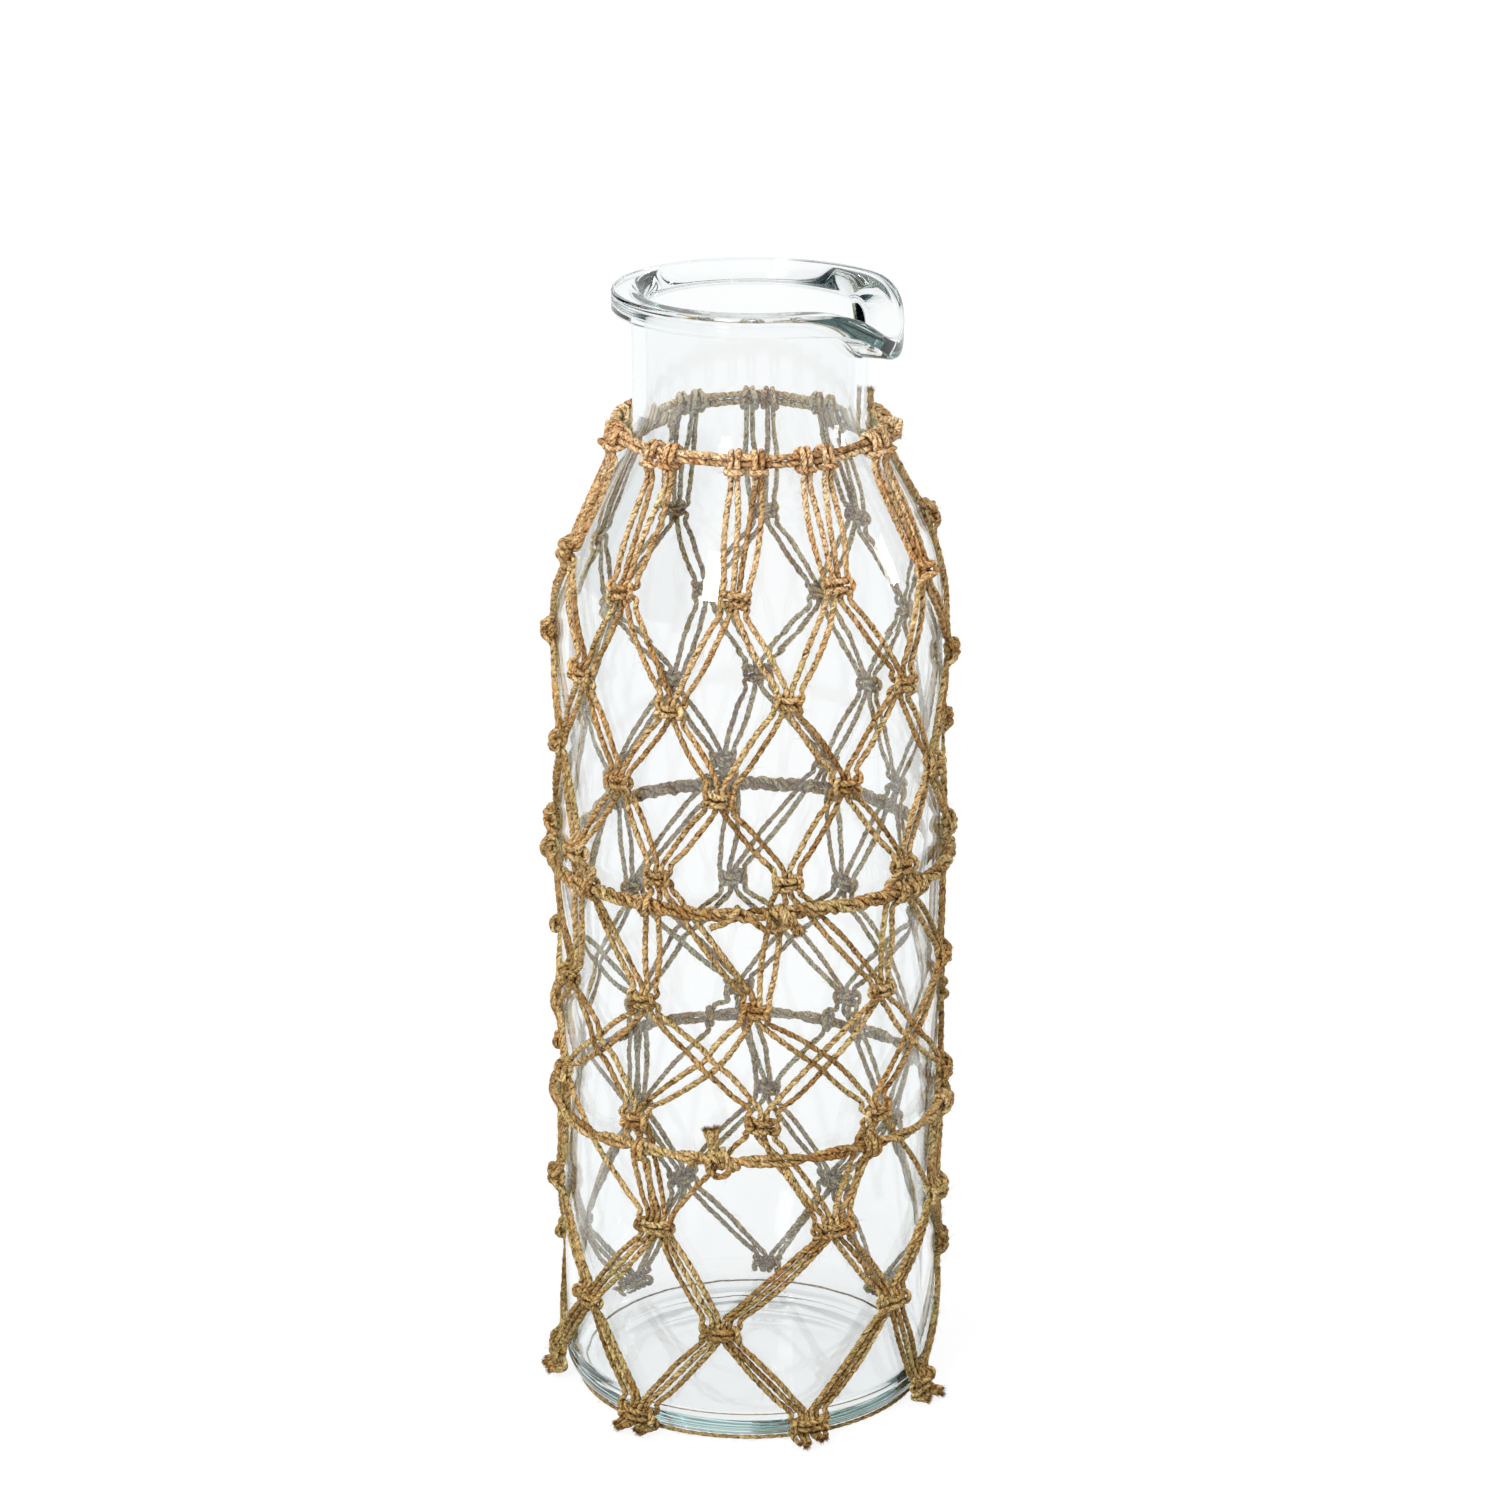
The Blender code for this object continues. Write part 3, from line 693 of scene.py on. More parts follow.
def smooth_path(points, closed=False):
    """A centripetal Catmull-Rom curve through the points, evenly sampled."""
    p = np.array(points, float)
    if closed:
        p = np.vstack([p[-1], p, p[0], p[1]])
    else:
        p = np.vstack([2 * p[0] - p[1], p, 2 * p[-1] - p[-2]])
    pieces = []
    for i in range(1, len(p) - 2):
        a, b, c, d = p[i - 1:i + 3]
        gaps = [max(np.linalg.norm(end - start), LEAST_GAP) ** 0.5
                for start, end in ((a, b), (b, c), (c, d))]
        t0, t1, t2, t3 = np.cumsum([0.0] + gaps)
        count = max(4, int(np.linalg.norm(c - b) / CORD_STEP * CURVE_DENSITY))
        t = np.linspace(t1, t2, count, endpoint=False)[:, None]
        bc = between(t, t1, t2, b, c)
        abc = between(t, t0, t2, between(t, t0, t1, a, b), bc)
        bcd = between(t, t1, t3, bc, between(t, t2, t3, c, d))
        pieces.append(between(t, t1, t2, abc, bcd))
    line = np.vstack(pieces + [p[-2][None]])
    lengths = np.concatenate([[0], np.cumsum(np.linalg.norm(np.diff(line, axis=0), axis=1))])
    even = np.linspace(0, lengths[-1], max(4, int(lengths[-1] / CORD_STEP)) + 1)
    return np.stack([np.interp(even, lengths, line[:, k]) for k in range(3)], axis=1)


def clear_of_glass(line, lift):
    """Push a cord's line out to a least distance from the glass, and above the floor."""
    radii = np.hypot(line[:, 0], line[:, 1])
    least = np.interp(line[:, 2], OUTER_LINE[:, 0], OUTER_LINE[:, 1])
    slope = np.gradient(OUTER_LINE[:, 1], OUTER_LINE[:, 0])
    stretch = np.hypot(1, np.interp(line[:, 2], OUTER_LINE[:, 0], slope))
    wanted = np.maximum(radii, least + lift * stretch)
    out = line.copy()
    out[:, :2] *= (wanted / radii)[:, None]
    out[:, 2] = np.maximum(out[:, 2], lift)
    return out


def frames_along(line):
    """Tangents and two steady normals along a line."""
    tangents = np.gradient(line, axis=0)
    tangents /= np.linalg.norm(tangents, axis=1)[:, None]
    first = np.cross(tangents[0], (0.0, 0.0, 1.0))
    if np.linalg.norm(first) < 0.1:
        first = np.cross(tangents[0], (1.0, 0.0, 0.0))
    normal = first / np.linalg.norm(first)
    normals = np.empty_like(line)
    for i, tangent in enumerate(tangents):
        normal = normal - tangent * (normal @ tangent)
        normal = normal / np.linalg.norm(normal)
        normals[i] = normal
    return tangents, normals, np.cross(tangents, normals)


def wander(count, repeat, seed):
    """A smooth random line of values from about -1 to 1, one per step of a cord."""
    return np.array([noise.noise(Vector((i * CORD_STEP / repeat, seed * 7.31, 0.5)))
                     for i in range(count)]) * WANDER_SWING


class Crowd:
    """Where every cord runs, to find how far others hem in a cord's surface, for the painted shade
    between cords.
    """

    def __init__(self, lines):
        self.owners = []
        self.places = []
        self.tree = kdtree.KDTree(sum(len(line[::CROWD_STRIDE]) for line in lines))
        for number, line in enumerate(lines):
            for place in range(0, len(line), CROWD_STRIDE):
                self.tree.insert(line[place], len(self.owners))
                self.owners.append(number)
                self.places.append(place)
        self.tree.balance()

    def around(self, number, line):
        """For each step of a cord, points of the cords beside it. The places that
        are left over hold a point far away."""
        found = np.full((len(line), MOST_CROWDING, 3), FAR_AWAY)
        apart = CROWD_SELF / CORD_STEP
        for row, point in enumerate(line):
            near_by = [spot for spot, index, _ in self.tree.find_range(point, CROWD_REACH)
                       if self.owners[index] != number or abs(self.places[index] - row) > apart]
            for column, spot in enumerate(near_by[:MOST_CROWDING]):
                found[row, column] = spot
        return found


def openness(points, outward, crowd):
    """How open each point of a cord's surface lies, from 1 for free to 0 for deep
    between other cords. The material paints shade by it."""
    gap = crowd[:, None] - points[:, :, None]
    distance = np.maximum(np.linalg.norm(gap, axis=-1), CORD_STEP)
    facing = np.maximum((gap * outward[:, :, None]).sum(axis=-1) / distance, 0)
    hidden = (facing * (CORD / 2 / distance) ** 2).sum(axis=-1)
    return np.exp(-CROWD_SHADE * hidden)


class RopeMesh:
    """Gathers the plies and fibres of one piece of rope into one mesh."""

    def __init__(self, seed):
        self.hand = random.Random(seed)
        self.vertices, self.faces, self.uvs = [], [], []
        self.depth, self.tone, self.open = [], [], []
        self.count = 0

    def sheath(self, line, first, second, radii, start_angles, depth, tone, crowd):
        """A ply's tube round a line, whose normals are first and second. Its first
        side faces along the start angles."""
        rows, sides = len(line), PLY_SIDES
        around = np.arange(sides + 1) / sides
        angles = start_angles[:, None] + around[None, :-1] * 2 * math.pi
        ring = (np.cos(angles)[..., None] * first[:, None]
                + np.sin(angles)[..., None] * second[:, None])
        points = line[:, None] + ring * radii[..., None]
        self.vertices.append(points.reshape(-1, 3))
        self.depth.append(depth.reshape(-1))
        self.tone.append(np.repeat(tone, sides))
        # How open each point lies; the material paints shade where other cords crowd it.
        self.open.append(openness(points, ring, crowd).reshape(-1))
        row = np.arange(rows - 1)[:, None]
        column = np.arange(sides)[None, :]
        following = (column + 1) % sides
        quads = np.stack([row * sides + column, row * sides + following,
                          (row + 1) * sides + following, (row + 1) * sides + column], axis=-1)
        quads = quads.reshape(-1, 4) + self.count
        self.faces += quads.tolist()
        along = np.arange(rows) * CORD_STEP
        u = around[None, :] + along[:, None] * FIBRE_TURN
        v = np.broadcast_to(along[:, None], u.shape)
        uv = np.stack([u, v], axis=-1)
        corner = np.stack([uv[:-1, :-1], uv[:-1, 1:], uv[1:, 1:], uv[1:, :-1]], axis=2)
        self.uvs.append(corner.reshape(-1, 2))
        end = self.count + (rows - 1) * sides
        self.faces.append([self.count + k for k in range(sides)][::-1])
        self.faces.append([end + k for k in range(sides)])
        self.uvs.append(np.zeros((2 * sides, 2)))
        self.count += rows * sides

    def cord(self, line, crowd, thickness):
        """A two-ply cord along a line, beside the points that crowd it."""
        _, first, second = frames_along(line)
        rows = len(line)
        seed = self.hand.uniform(0, 900)
        short = wander(rows, SHORT_REPEAT, seed)
        slow = wander(rows, SLOW_REPEAT, seed + 3)
        width = thickness * (1 + SHORT_UNEVEN * short + SLOW_UNEVEN * slow)
        lay = LAY * (1 + LAY_UNEVEN * slow)
        turn = np.cumsum(np.full(rows, CORD_STEP) / lay) * 2 * math.pi
        turn += self.hand.uniform(0, ABOUT_A_TURN)
        for half in (0.0, math.pi):
            phase = turn + half
            offset = (np.cos(phase)[:, None] * first + np.sin(phase)[:, None] * second)
            centre = line + offset * (width * PLY_OFFSET)[:, None]
            rough = np.array([[noise.noise(Vector((i * 0.31, k * 0.9, seed + half)))
                               for k in range(PLY_SIDES)] for i in range(rows)])
            ply = width * PLY_RADIUS
            radii = ply[:, None] * (1 + PLY_UNEVEN * rough)
            angles = np.arange(PLY_SIDES) / PLY_SIDES * 2 * math.pi
            outness = -np.cos(angles)[None, :]
            # Depth is 0 on the side of a ply that faces the other ply and 1 on its outside, with
            # some random change; the material paints shade in the groove where it is low.
            depth = np.clip(0.5 + 0.5 * outness + 0.25 * rough, 0, 1)
            tone = 0.5 + 0.35 * slow + 0.2 * wander(rows, TONE_REPEAT, seed + half + 9)
            self.sheath(centre, first, second, radii, phase + math.pi, depth, tone, crowd)

    def fibre(self, start, direction, length, radius=FIBRE_RADIUS, tone=FIBRE_TONE):
        """One loose fibre, a thin bent three-sided tube that ends in a point."""
        hand = self.hand
        heading = Vector(direction).normalized()
        bend = Vector([hand.uniform(-1, 1) for _ in range(3)]) * FIBRE_BEND
        place = Vector(start)
        sides = FIBRE_SIDES
        for joint in range(FIBRE_JOINTS):
            across = heading.orthogonal().normalized()
            other = heading.cross(across)
            size = radius * (1 - FIBRE_TAPER * joint / (FIBRE_JOINTS - 1))
            for k in range(sides):
                angle = 2 * math.pi * k / sides
                point = place + (across * math.cos(angle) + other * math.sin(angle)) * size
                point.z = max(point.z, LOWEST_FIBRE)
                self.vertices.append(np.array([point]))
            self.depth.append(np.ones(sides))
            self.tone.append(np.full(sides, tone))
            self.open.append(np.ones(sides))
            if joint:
                row = self.count + (joint - 1) * sides
                for k in range(sides):
                    following = (k + 1) % sides
                    self.faces.append([row + k, row + following,
                                       row + sides + following, row + sides + k])
                    self.uvs.append(np.zeros((4, 2)))
            place = place + heading * (length / (FIBRE_JOINTS - 1))
            heading = (heading + bend * 0.5).normalized()
        self.count += FIBRE_JOINTS * sides

    def fuzz(self, line, thickness):
        """Loose fibres that stand off a cord."""
        hand = self.hand
        length = CORD_STEP * len(line)
        for _ in range(int(length * FIBRES_PER_METRE)):
            i = hand.randrange(2, len(line) - 3)
            along = Vector(line[i + 1] - line[i]).normalized()
            out = Vector((line[i][0], line[i][1], 0)).normalized()
            spin = hand.uniform(-FIBRE_SPIN, FIBRE_SPIN)
            side = along.cross(out).normalized()
            direction = out * math.cos(spin) + side * math.sin(spin)
            start = Vector(line[i]) + direction * thickness * FIBRE_ROOT
            lean = along * hand.choice((-1, 1)) * hand.uniform(*FIBRE_LEANS)
            self.fibre(start, direction + lean, hand.uniform(*FIBRE_LENGTHS))

    def fray(self, line, at_start, thickness):
        """The brush of fibres at a cut end."""
        hand = self.hand
        tip = line[0] if at_start else line[-1]
        inner = line[4] if at_start else line[-5]
        heading = Vector(tip - inner).normalized()
        across = heading.orthogonal().normalized()
        other = heading.cross(across)
        for _ in range(FRAY_FIBRES):
            angle = hand.uniform(0, ABOUT_A_TURN)
            away = across * math.cos(angle) + other * math.sin(angle)
            root = away * thickness * hand.uniform(0, FIBRE_ROOT)
            start = Vector(tip) + root - heading * FRAY_ROOT
            direction = heading + away * hand.uniform(0, FRAY_SPREAD)
            if start.z < NEAR_FLOOR:
                direction.z = abs(direction.z)
            self.fibre(start, direction, hand.uniform(*FRAY_LENGTHS), FRAY_RADIUS, FRAY_TONE)

    def make(self, name, material):
        """The finished mesh object."""
        points = np.vstack(self.vertices)
        mesh = bpy.data.meshes.new(name)
        mesh.from_pydata(points.tolist(), [], self.faces)
        layer = mesh.uv_layers.new(name="lay")
        layer.data.foreach_set("uv", np.vstack(self.uvs).astype(np.float32).ravel())
        for label, values in (("depth", self.depth), ("tone", self.tone), ("open", self.open)):
            attribute = mesh.attributes.new(label, "FLOAT", "POINT")
            attribute.data.foreach_set("value", np.concatenate(values).astype(np.float32))
        mesh.shade_smooth()
        mesh.materials.append(material)
        made = bpy.data.objects.new(name, mesh)
        bpy.context.scene.collection.objects.link(made)
        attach(made, "root")
        return made


def ring_line(height, lift, wave, seed):
    """The middle line of a ring cord, one closed turn round the glass."""
    points = []
    for angle in range(0, 360, RING_DEGREES):
        rise = wave * noise.noise(Vector((math.cos(math.radians(angle)) * RING_WAVES,
                                          math.sin(math.radians(angle)) * RING_WAVES, seed)))
        points.append(on_glass(angle, height + rise, lift))
    return smooth_path(points, closed=True)


def ring_cords(height, lift, angle, shape, laid):
    """A ring's cords and its tie's. A cord is its middle line, then whether its
    first and its last end fray."""
    count, depth, spacing, twist_length, wave, seed = laid
    centre = ring_line(height, lift, wave, seed)
    tangents = frames_along(centre)[0]
    out = centre * (1, 1, 0)
    out /= np.linalg.norm(out, axis=1)[:, None]
    up = np.cross(out, tangents)
    up *= np.sign(up[:, 2:3])
    out = np.cross(tangents, up)
    out *= np.sign((out * centre * (1, 1, 0)).sum(axis=1))[:, None]
    turns = round(CORD_STEP * len(centre) / twist_length) if twist_length else 0
    share = np.arange(len(centre)) / (len(centre) - 1)
    turned = -2 * math.pi * turns * share
    phase = math.pi / 2 + turned - RING_DWELL * np.sin(2 * turned)
    if turns:
        phase += RING_UNEVEN * np.sin(2 * math.pi * share * RING_SWAYS)
    cords = []
    for strand in range(count):
        own = phase + 2 * math.pi * strand / count
        line = (centre + out * np.cos(own)[:, None] * depth * RING_CORD
                + up * np.sin(own)[:, None] * spacing * RING_CORD)
        cords.append((clear_of_glass(line, RING_LEAST), False, False))
    for frays, group in zip((True, False), shape):
        for rows in group:
            points = [on_glass(angle, height, max(lift + rise * RING_CORD, RING_LEAST),
                               side * RING_CORD, above * RING_CORD)
                      for side, above, rise in rows]
            cords.append((clear_of_glass(smooth_path(points), RING_LEAST), frays, False))
    return cords


def base_line():
    """The thin cord in the hollow between the heel and the floor."""
    offset = HEEL_ROUND + BASE_CORD / 2 + CORD_GAP
    tilt = math.asin((HEEL_ROUND - BASE_CORD / 2 - UNDER_BASE_CORD) / offset)
    radius = BODY_RADIUS - HEEL_ROUND + offset * math.cos(tilt)
    height = HEEL_ROUND - offset * math.sin(tilt)
    points = [(radius * math.cos(math.radians(a)), radius * math.sin(math.radians(a)), height)
              for a in range(0, 360, 6)]
    return smooth_path(points, closed=True)


def all_ropes():
    """Every piece of rope: its name, its node, its seed, its thickness, its cords."""
    ropes = []
    for name, *ring in (
            ("neck_ring", NECK_RING_HEIGHT, NECK_RING_LIFT, NECK_TIE, NECK_TIE_SHAPE, NECK_RING),
            ("middle_ring", net_height(MIDDLE_RING_SHARE), RING_LIFT, MIDDLE_TIE,
             MIDDLE_TIE_SHAPE, MIDDLE_RING),
            ("lower_ring", net_height(LOWER_RING_SHARE), RING_LIFT, LOWER_TIE,
             LOWER_TIE_SHAPE, LOWER_RING)):
        ropes.append((name + "_rope", name + "_cord", ring[-1][-1], RING_CORD,
                      ring_cords(*ring)))
    ropes.append(("base_ring_rope", "base_ring_cord", BASE_SEED, BASE_CORD,
                  [(base_line(), False, False)]))
    for cord in range(LEGS // 2):
        line = clear_of_glass(smooth_path(net_cord_points(cord)), REST_LIFT * 0.92)
        ropes.append(("net_rope_%02d" % (cord + 1), "net_cord_%02d" % (cord + 1),
                      ROPE_SEED + cord, CORD, [(line, True, True)]))
    return ropes


def net(material):
    """All the ropes, each in the place of its node."""
    ropes = all_ropes()
    crowd = Crowd([cord[0] for rope in ropes for cord in rope[-1]])
    number = 0
    for name, node, seed, thickness, cords in ropes:
        mesh = RopeMesh(seed)
        for line, first_frays, last_frays in cords:
            mesh.cord(line, crowd.around(number, line), thickness)
            mesh.fuzz(line, thickness)
            if first_frays:
                mesh.fray(line, True, thickness)
            if last_frays:
                mesh.fray(line, False, thickness)
            number += 1
        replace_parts(mesh.make(name, material), node)


def feed(tree, node, inputs):
    """Set a node's inputs, or link them where a value is another node's output."""
    for key, value in inputs.items():
        if isinstance(value, bpy.types.NodeSocket):
            tree.links.new(value, node.inputs[key])
        else:
            node.inputs[key].default_value = value


def maker(tree):
    """A function that adds a node of a kind, with its inputs and its settings."""
    def add(kind, inputs, **settings):
        node = tree.nodes.new("ShaderNode" + kind)
        for key, value in settings.items():
            setattr(node, key, value)
        feed(tree, node, inputs)
        return node.outputs

    return add


def nodes_of(material):
    """The node tree of a new material, its Principled shader and a maker."""
    material.use_nodes = True
    tree = material.node_tree
    return tree, tree.nodes["Principled BSDF"], maker(tree)


def ramp(add, value, *stops):
    """A colour that follows a value, through (place, colour) stops."""
    colour = add("ValToRGB", {"Fac": value})["Color"]
    elements = colour.node.color_ramp.elements
    while len(elements) < len(stops):
        elements.new(0.5)
    for element, (place, shade) in zip(elements, stops):
        element.position = place
        element.color = (*shade, 1)
    return colour


def mixed(add, kind, below, above, share=1.0, **settings):
    """Two colours mixed in one of Blender's ways."""
    return add("Mix", {"Factor": share, "A": below, "B": above}, data_type="RGBA",
               blend_type=kind, **settings)["Result"]


def jute_material():
    """Tan jute: fibre streaks, orange and olive patches and dark specks, painted shade
    in the grooves between plies and between cords, lighter up the vase, and painted light that
    makes the glass's side paler."""
    material = bpy.data.materials.new("jute_twine")
    tree, shader, add = nodes_of(material)

    def noise_map(vector, scale, detail):
        return add("TexNoise", {"Vector": vector, "Scale": scale, "Detail": detail,
                                "Roughness": 0.6})["Fac"]

    def stored(name):
        return add("Attribute", {}, attribute_name=name)["Fac"]

    lay = add("UVMap", {}, uv_map="lay")["UV"]
    stretched = add("Mapping", {"Vector": lay, "Scale": STREAK_SCALE})["Vector"]
    place, normal = (add("TexCoord", {})[key] for key in ("Object", "Normal"))
    height = add("SeparateXYZ", {0: place})["Z"]
    share_up = add("Math", {0: height, 1: BOTTLE_HEIGHT}, operation="DIVIDE")[0]
    openness = stored("open")
    streaks = noise_map(stretched, 1.0, 5.0)
    specks = noise_map(place, SPECK_SCALE, 2.0)
    colour = ramp(add, stored("tone"), (0.05, (0.34, 0.182, 0.068)),
                  (0.42, (0.56, 0.366, 0.180)), (0.95, (0.76, 0.57, 0.33)))
    for share, value, *stops in (
            (1.0, noise_map(place, PATCH_SCALE, 3.0), (0.36, (1.08, 0.96, 0.82)),
             (0.50, (1.0, 1.0, 1.0)), (0.64, (0.93, 0.98, 0.88))),
            (1.0, streaks, (0.34, (0.21, 0.11, 0.045)),
             (0.50, (0.94, 0.88, 0.82)), (0.68, (1.45, 1.43, 1.38))),
            (0.95, specks, (0.34, (0.18, 0.11, 0.05)),
             (0.48, (1.0, 1.0, 1.0)), (0.70, (1.35, 1.35, 1.32))),
            # Painted shade: darker in the groove between the two plies of a cord.
            (1.0, stored("depth"), (0.20, (0.22, 0.13, 0.06)), (0.56, (1.0, 1.0, 1.0))),
            # Painted shade: darker where other cords crowd a cord's surface, deepest between them.
            (1.0, openness, (0.05, (0.04, 0.022, 0.010)),
             (0.50, (0.42, 0.31, 0.20)), (0.92, (1.0, 1.0, 1.0))),
            (1.0, share_up, (0.08, (0.70, 0.77, 0.66)), (0.22, (0.86, 0.91, 0.83)),
             (0.50, (0.83, 0.87, 0.81)), (0.72, (0.96, 0.99, 0.95)),
             (0.88, (1.17, 1.22, 1.42)))):
        colour = mixed(add, "MULTIPLY", colour, ramp(add, value, *stops), share)

    level = add("VectorMath", {0: place, 1: (1, 1, 0)}, operation="MULTIPLY")[0]
    outwards = add("VectorMath", {0: level}, operation="NORMALIZE")[0]
    faces_out = add("VectorMath", {0: outwards, 1: normal}, operation="DOT_PRODUCT")["Value"]
    faces_in = add("MapRange", {"Value": faces_out, "From Min": INSIDE_STARTS,
                                "From Max": INSIDE_FULL})["Result"]
    # Painted light: the side that faces the glass, where it lies open, is made paler, standing in
    # for the light that comes through the glass.
    painted_light_share = add("Math", {0: faces_in, 1: openness}, operation="MULTIPLY")[0]
    colour_with_painted_light = mixed(add, "ADD", colour, mixed(add, "MULTIPLY", colour, GLASS_SIDE_PAINTED_LIGHT), painted_light_share,
                  clamp_result=True)
    relief = add("Math", {0: streaks, 1: specks}, operation="ADD")[0]
    bump = add("Bump", {"Height": relief, "Strength": 0.8, "Distance": JUTE_RELIEF})["Normal"]
    feed(tree, shader, {"Base Color": colour_with_painted_light, "Normal": bump, "Roughness": 0.9,
                        "Specular IOR Level": 0.15})
    return material


def glass_material():
    """Clear soda glass with a faint cool tint that deepens a little at its edges, and painted shade
    that darkens the very edges, standing in for dark surroundings that they refract.
    """
    material = bpy.data.materials.new("clear_glass")
    tree, shader, add = nodes_of(material)
    facing = add("LayerWeight", {"Blend": 0.5})["Facing"]
    # Painted shade: at grazing angles the colour falls to a dark grey-blue, standing in for dark
    # surroundings refracted at the edges; the faint cool tint before that is the glass's own.
    colour = ramp(add, facing, (0.0, (0.962, 0.966, 0.968)), (0.78, (0.93, 0.955, 0.96)),
                  (1.0, (0.50, 0.56, 0.58)))
    place = add("TexCoord", {})["Object"]
    ripple = add("TexNoise", {"Vector": place, "Scale": RIPPLE_SCALE, "Detail": 2.0})["Fac"]
    bump = add("Bump", {"Height": ripple, "Strength": 0.12, "Distance": RIPPLE_DEPTH})["Normal"]
    feed(tree, shader, {"Base Color": colour, "Normal": bump, "Roughness": 0.0, "IOR": 1.5,
                        "Transmission Weight": 1.0, "Specular Tint": WHITE})
    body = add("VolumeAbsorption", {"Color": GLASS_TINT, "Density": GLASS_DENSITY})
    feed(tree, tree.nodes["Material Output"], {"Volume": body["Volume"]})
    return material


def fine_profile():
    """The turned outline, with its long runs cut into short ones."""
    corners = inner_corners() + rim_corners() + outer_corners()
    points = rounded(corners)
    fine = [points[0]]
    for start, end in zip(points, points[1:]):
        at_rim = max(start[1], end[1]) > RIM_UNDERSIDE - SPOUT_NECK_LENGTH
        longest = LONGEST_RIM_RUN if at_rim else LONGEST_RUN
        pieces = max(1, math.ceil(math.dist(start, end) / longest))
        for i in range(1, pieces + 1):
            fine.append((start[0] + (end[0] - start[0]) * i / pieces,
                         start[1] + (end[1] - start[1]) * i / pieces))
    return fine


def pulled(point):
    """A point of the glass after the spout is pulled out and down at +X. The neck
    shortens there and stays straight. The rim reaches out over it, and the bore
    flares within the depth of the rim and less far round than the rim."""
    x, y, z = point
    shortened = min(max((z - RIM_UNDERSIDE) / SPOUT_NECK_LENGTH + 1, 0), 1)
    turn = math.atan2(y, x)
    radius = math.hypot(x, y)
    raised = (z - RIM_UNDERSIDE) / RIM_DEPTH
    overhung = (radius - NECK_RADIUS) / RIM_OVERHANG if shortened == 1 else 0
    flared = min(max(raised, overhung, 0), 1)
    across = min(max((radius - BORE_RADIUS) / (RIM_RADIUS - BORE_RADIUS), 0), 1)
    spread = BORE_REACH_ANGLE + (SPOUT_REACH_ANGLE - BORE_REACH_ANGLE) * across
    reach = SPOUT_REACH * math.exp(-(turn / spread) ** 2)
    drop = SPOUT_DROP * math.exp(-(turn / SPOUT_DROP_ANGLE) ** 2)
    radius += reach * flared
    return radius * math.cos(turn), radius * math.sin(turn), z - drop * shortened


def punt(radius, height):
    """Height of a point of the outline, with the base a little hollow inside the
    ring that the vase stands on."""
    inside = max(1 - (radius / PUNT_RADIUS) ** 2, 0)
    return PUNT * inside if height < CORD_GAP else height


def glass_vessel(material):
    """The bottle: one closed turned surface with faint hand-made waves."""
    profile = fine_profile()
    vertices = [(0.0, 0.0, profile[0][1])]
    rings = profile[1:-1]
    for radius, height in rings:
        for step in range(TURN_STEPS):
            turn = 2 * math.pi * step / TURN_STEPS
            x, y, z = radius * math.cos(turn), radius * math.sin(turn), punt(radius, height)
            swell = GLASS_WAVE * noise.noise(Vector((x, y, z)) / GLASS_WAVE_SIZE)
            swell *= min(1.0, radius / BORE_RADIUS)
            factor = 1 + swell / max(radius, 0.001)
            vertices.append(pulled((x * factor, y * factor, z)))
    vertices.append((0.0, 0.0, PUNT))
    faces = []
    for step in range(TURN_STEPS):
        following = (step + 1) % TURN_STEPS
        faces.append((0, 1 + step, 1 + following))
        for ring in range(len(rings) - 1):
            here, there = 1 + ring * TURN_STEPS, 1 + (ring + 1) * TURN_STEPS
            faces.append((here + step, there + step, there + following, here + following))
        last = 1 + (len(rings) - 1) * TURN_STEPS
        faces.append((last + step, len(vertices) - 1, last + following))
    mesh = bpy.data.meshes.new("glass_vessel")
    mesh.from_pydata(vertices, [], faces)
    mesh.shade_smooth()
    mesh.materials.append(material)
    made = bpy.data.objects.new("glass_vessel", mesh)
    bpy.context.scene.collection.objects.link(made)
    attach(made, "root")
    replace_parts(made, "glass_bottle")
    return made


def seen_directly(add):
    """One for camera, glossy and transmission rays, and nought for the rest."""
    path = add("LightPath", {})
    first = add("Math", {0: path["Is Camera Ray"], 1: path["Is Glossy Ray"]},
                operation="MAXIMUM")[0]
    return add("Math", {0: first, 1: path["Is Transmission Ray"]}, operation="MAXIMUM")[0]


def floor():
    """A wide white floor that still takes the vase's soft shadow."""
    bpy.ops.mesh.primitive_plane_add(size=FLOOR_SIZE, location=(0, 0, -FLOOR_BELOW))
    made = bpy.context.object
    made.name = "floor"
    material = bpy.data.materials.new("white_floor")
    tree, shader, add = nodes_of(material)
    feed(tree, shader, {"Base Color": FLOOR_COLOUR, "Roughness": 1.0})
    soft = add("BsdfDiffuse", {"Color": FLOOR_SHADOW})[0]
    glow = add("Emission", {"Color": WHITE, "Strength": FLOOR_GLOW})[0]
    seen = add("AddShader", {0: soft, 1: glow})[0]
    surface = add("MixShader", {0: seen_directly(add), 1: shader.outputs[0], 2: seen})[0]
    feed(tree, tree.nodes["Material Output"], {"Surface": surface})
    made.data.materials.append(material)


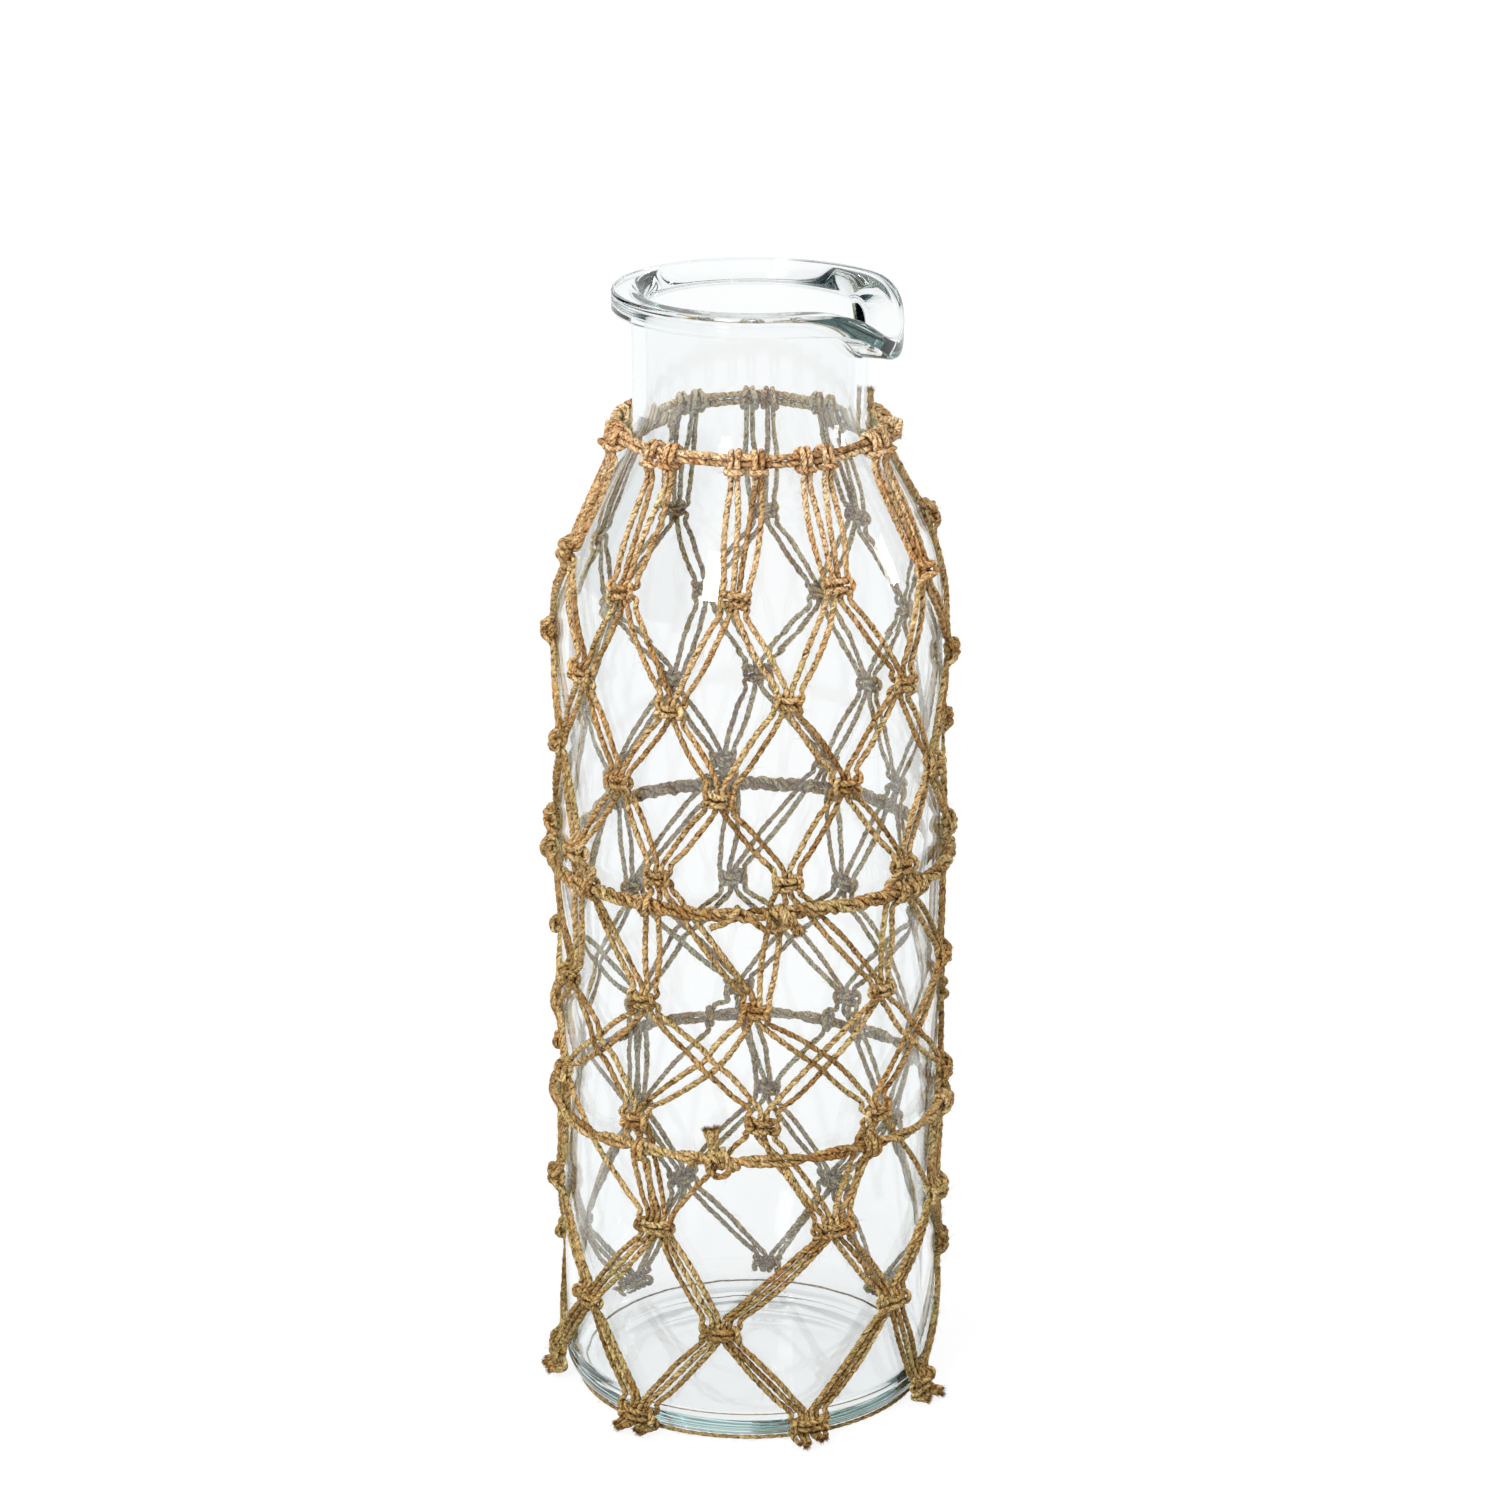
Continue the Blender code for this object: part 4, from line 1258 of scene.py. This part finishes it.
def world():
    """White all round where it is seen, soft fill light elsewhere, and for the
    glass a dark side, as past the edge of a studio's white sweep."""
    made = bpy.data.worlds.new("studio")
    made.use_nodes = True
    tree = made.node_tree
    add = maker(tree)
    place = add("TexCoord", {})["Generated"]

    def toward(side):
        return add("VectorMath", {0: place, 1: from_camera_side(*side, 1.0)},
                   operation="DOT_PRODUCT")["Value"]

    strength = add("MapRange", {"Value": toward(LIT_SIDE), "From Min": -1.0,
                                "To Min": FILL[0], "To Max": FILL[1]})["Result"]
    fill = tree.nodes["Background"]
    feed(tree, fill, {"Color": WHITE, "Strength": strength})
    around = ramp(add, toward(DARK_SIDE), (DARK_EDGE[0], WHITE[:3]), (DARK_EDGE[1], DARK))
    camera_ray = add("LightPath", {})["Is Camera Ray"]
    seen = add("Background", {"Color": mixed(add, "MIX", around, WHITE, camera_ray)})[0]
    surface = add("MixShader", {0: seen_directly(add), 1: fill.outputs[0], 2: seen})[0]
    feed(tree, tree.nodes["World Output"], {"Surface": surface})
    bpy.context.scene.world = made


def from_camera_side(turn, rise, distance):
    """A place at an angle right of the camera's side and above the level, in
    degrees, and at a distance from the vase."""
    angle = math.radians(CAMERA_SIDE + turn)
    level = distance * math.cos(math.radians(rise))
    return (level * math.cos(angle), level * math.sin(angle),
            distance * math.sin(math.radians(rise)))


def lamp(name, turn, rise, distance, size, power):
    """A soft lamp whose reflection the shoulder shows."""
    data = bpy.data.lights.new(name, "AREA")
    data.shape = "RECTANGLE"
    data.size, data.size_y = size
    data.energy = power
    made = bpy.data.objects.new(name, data)
    shoulder = Vector((0, 0, SHOULDER_FOOT))
    made.location = shoulder + Vector(from_camera_side(turn, rise, distance))
    made.rotation_euler = (shoulder - made.location).to_track_quat("-Z", "Y").to_euler()
    bpy.context.scene.collection.objects.link(made)


def camera():
    """The photograph's camera."""
    data = bpy.data.cameras.new("camera")
    data.lens = CAMERA_LENS
    data.sensor_width = CAMERA_SENSOR
    made = bpy.data.objects.new("camera", data)
    made.location = CAMERA_PLACE
    made.rotation_euler = CAMERA_TURN
    bpy.context.scene.collection.objects.link(made)
    bpy.context.scene.camera = made


def build():
    """Dress the part and set the stage."""
    camera()
    world()
    floor()
    for name, values in LAMPS.items():
        lamp(name, *values)
    glass_vessel(glass_material())
    net(jute_material())
    scene = bpy.context.scene
    scene.view_settings.view_transform = "Standard"
    scene.cycles.max_bounces = GLASS_BOUNCES
    scene.cycles.transmission_bounces = GLASS_BOUNCES
    scene.cycles.glossy_bounces = GLASS_BOUNCES


build()
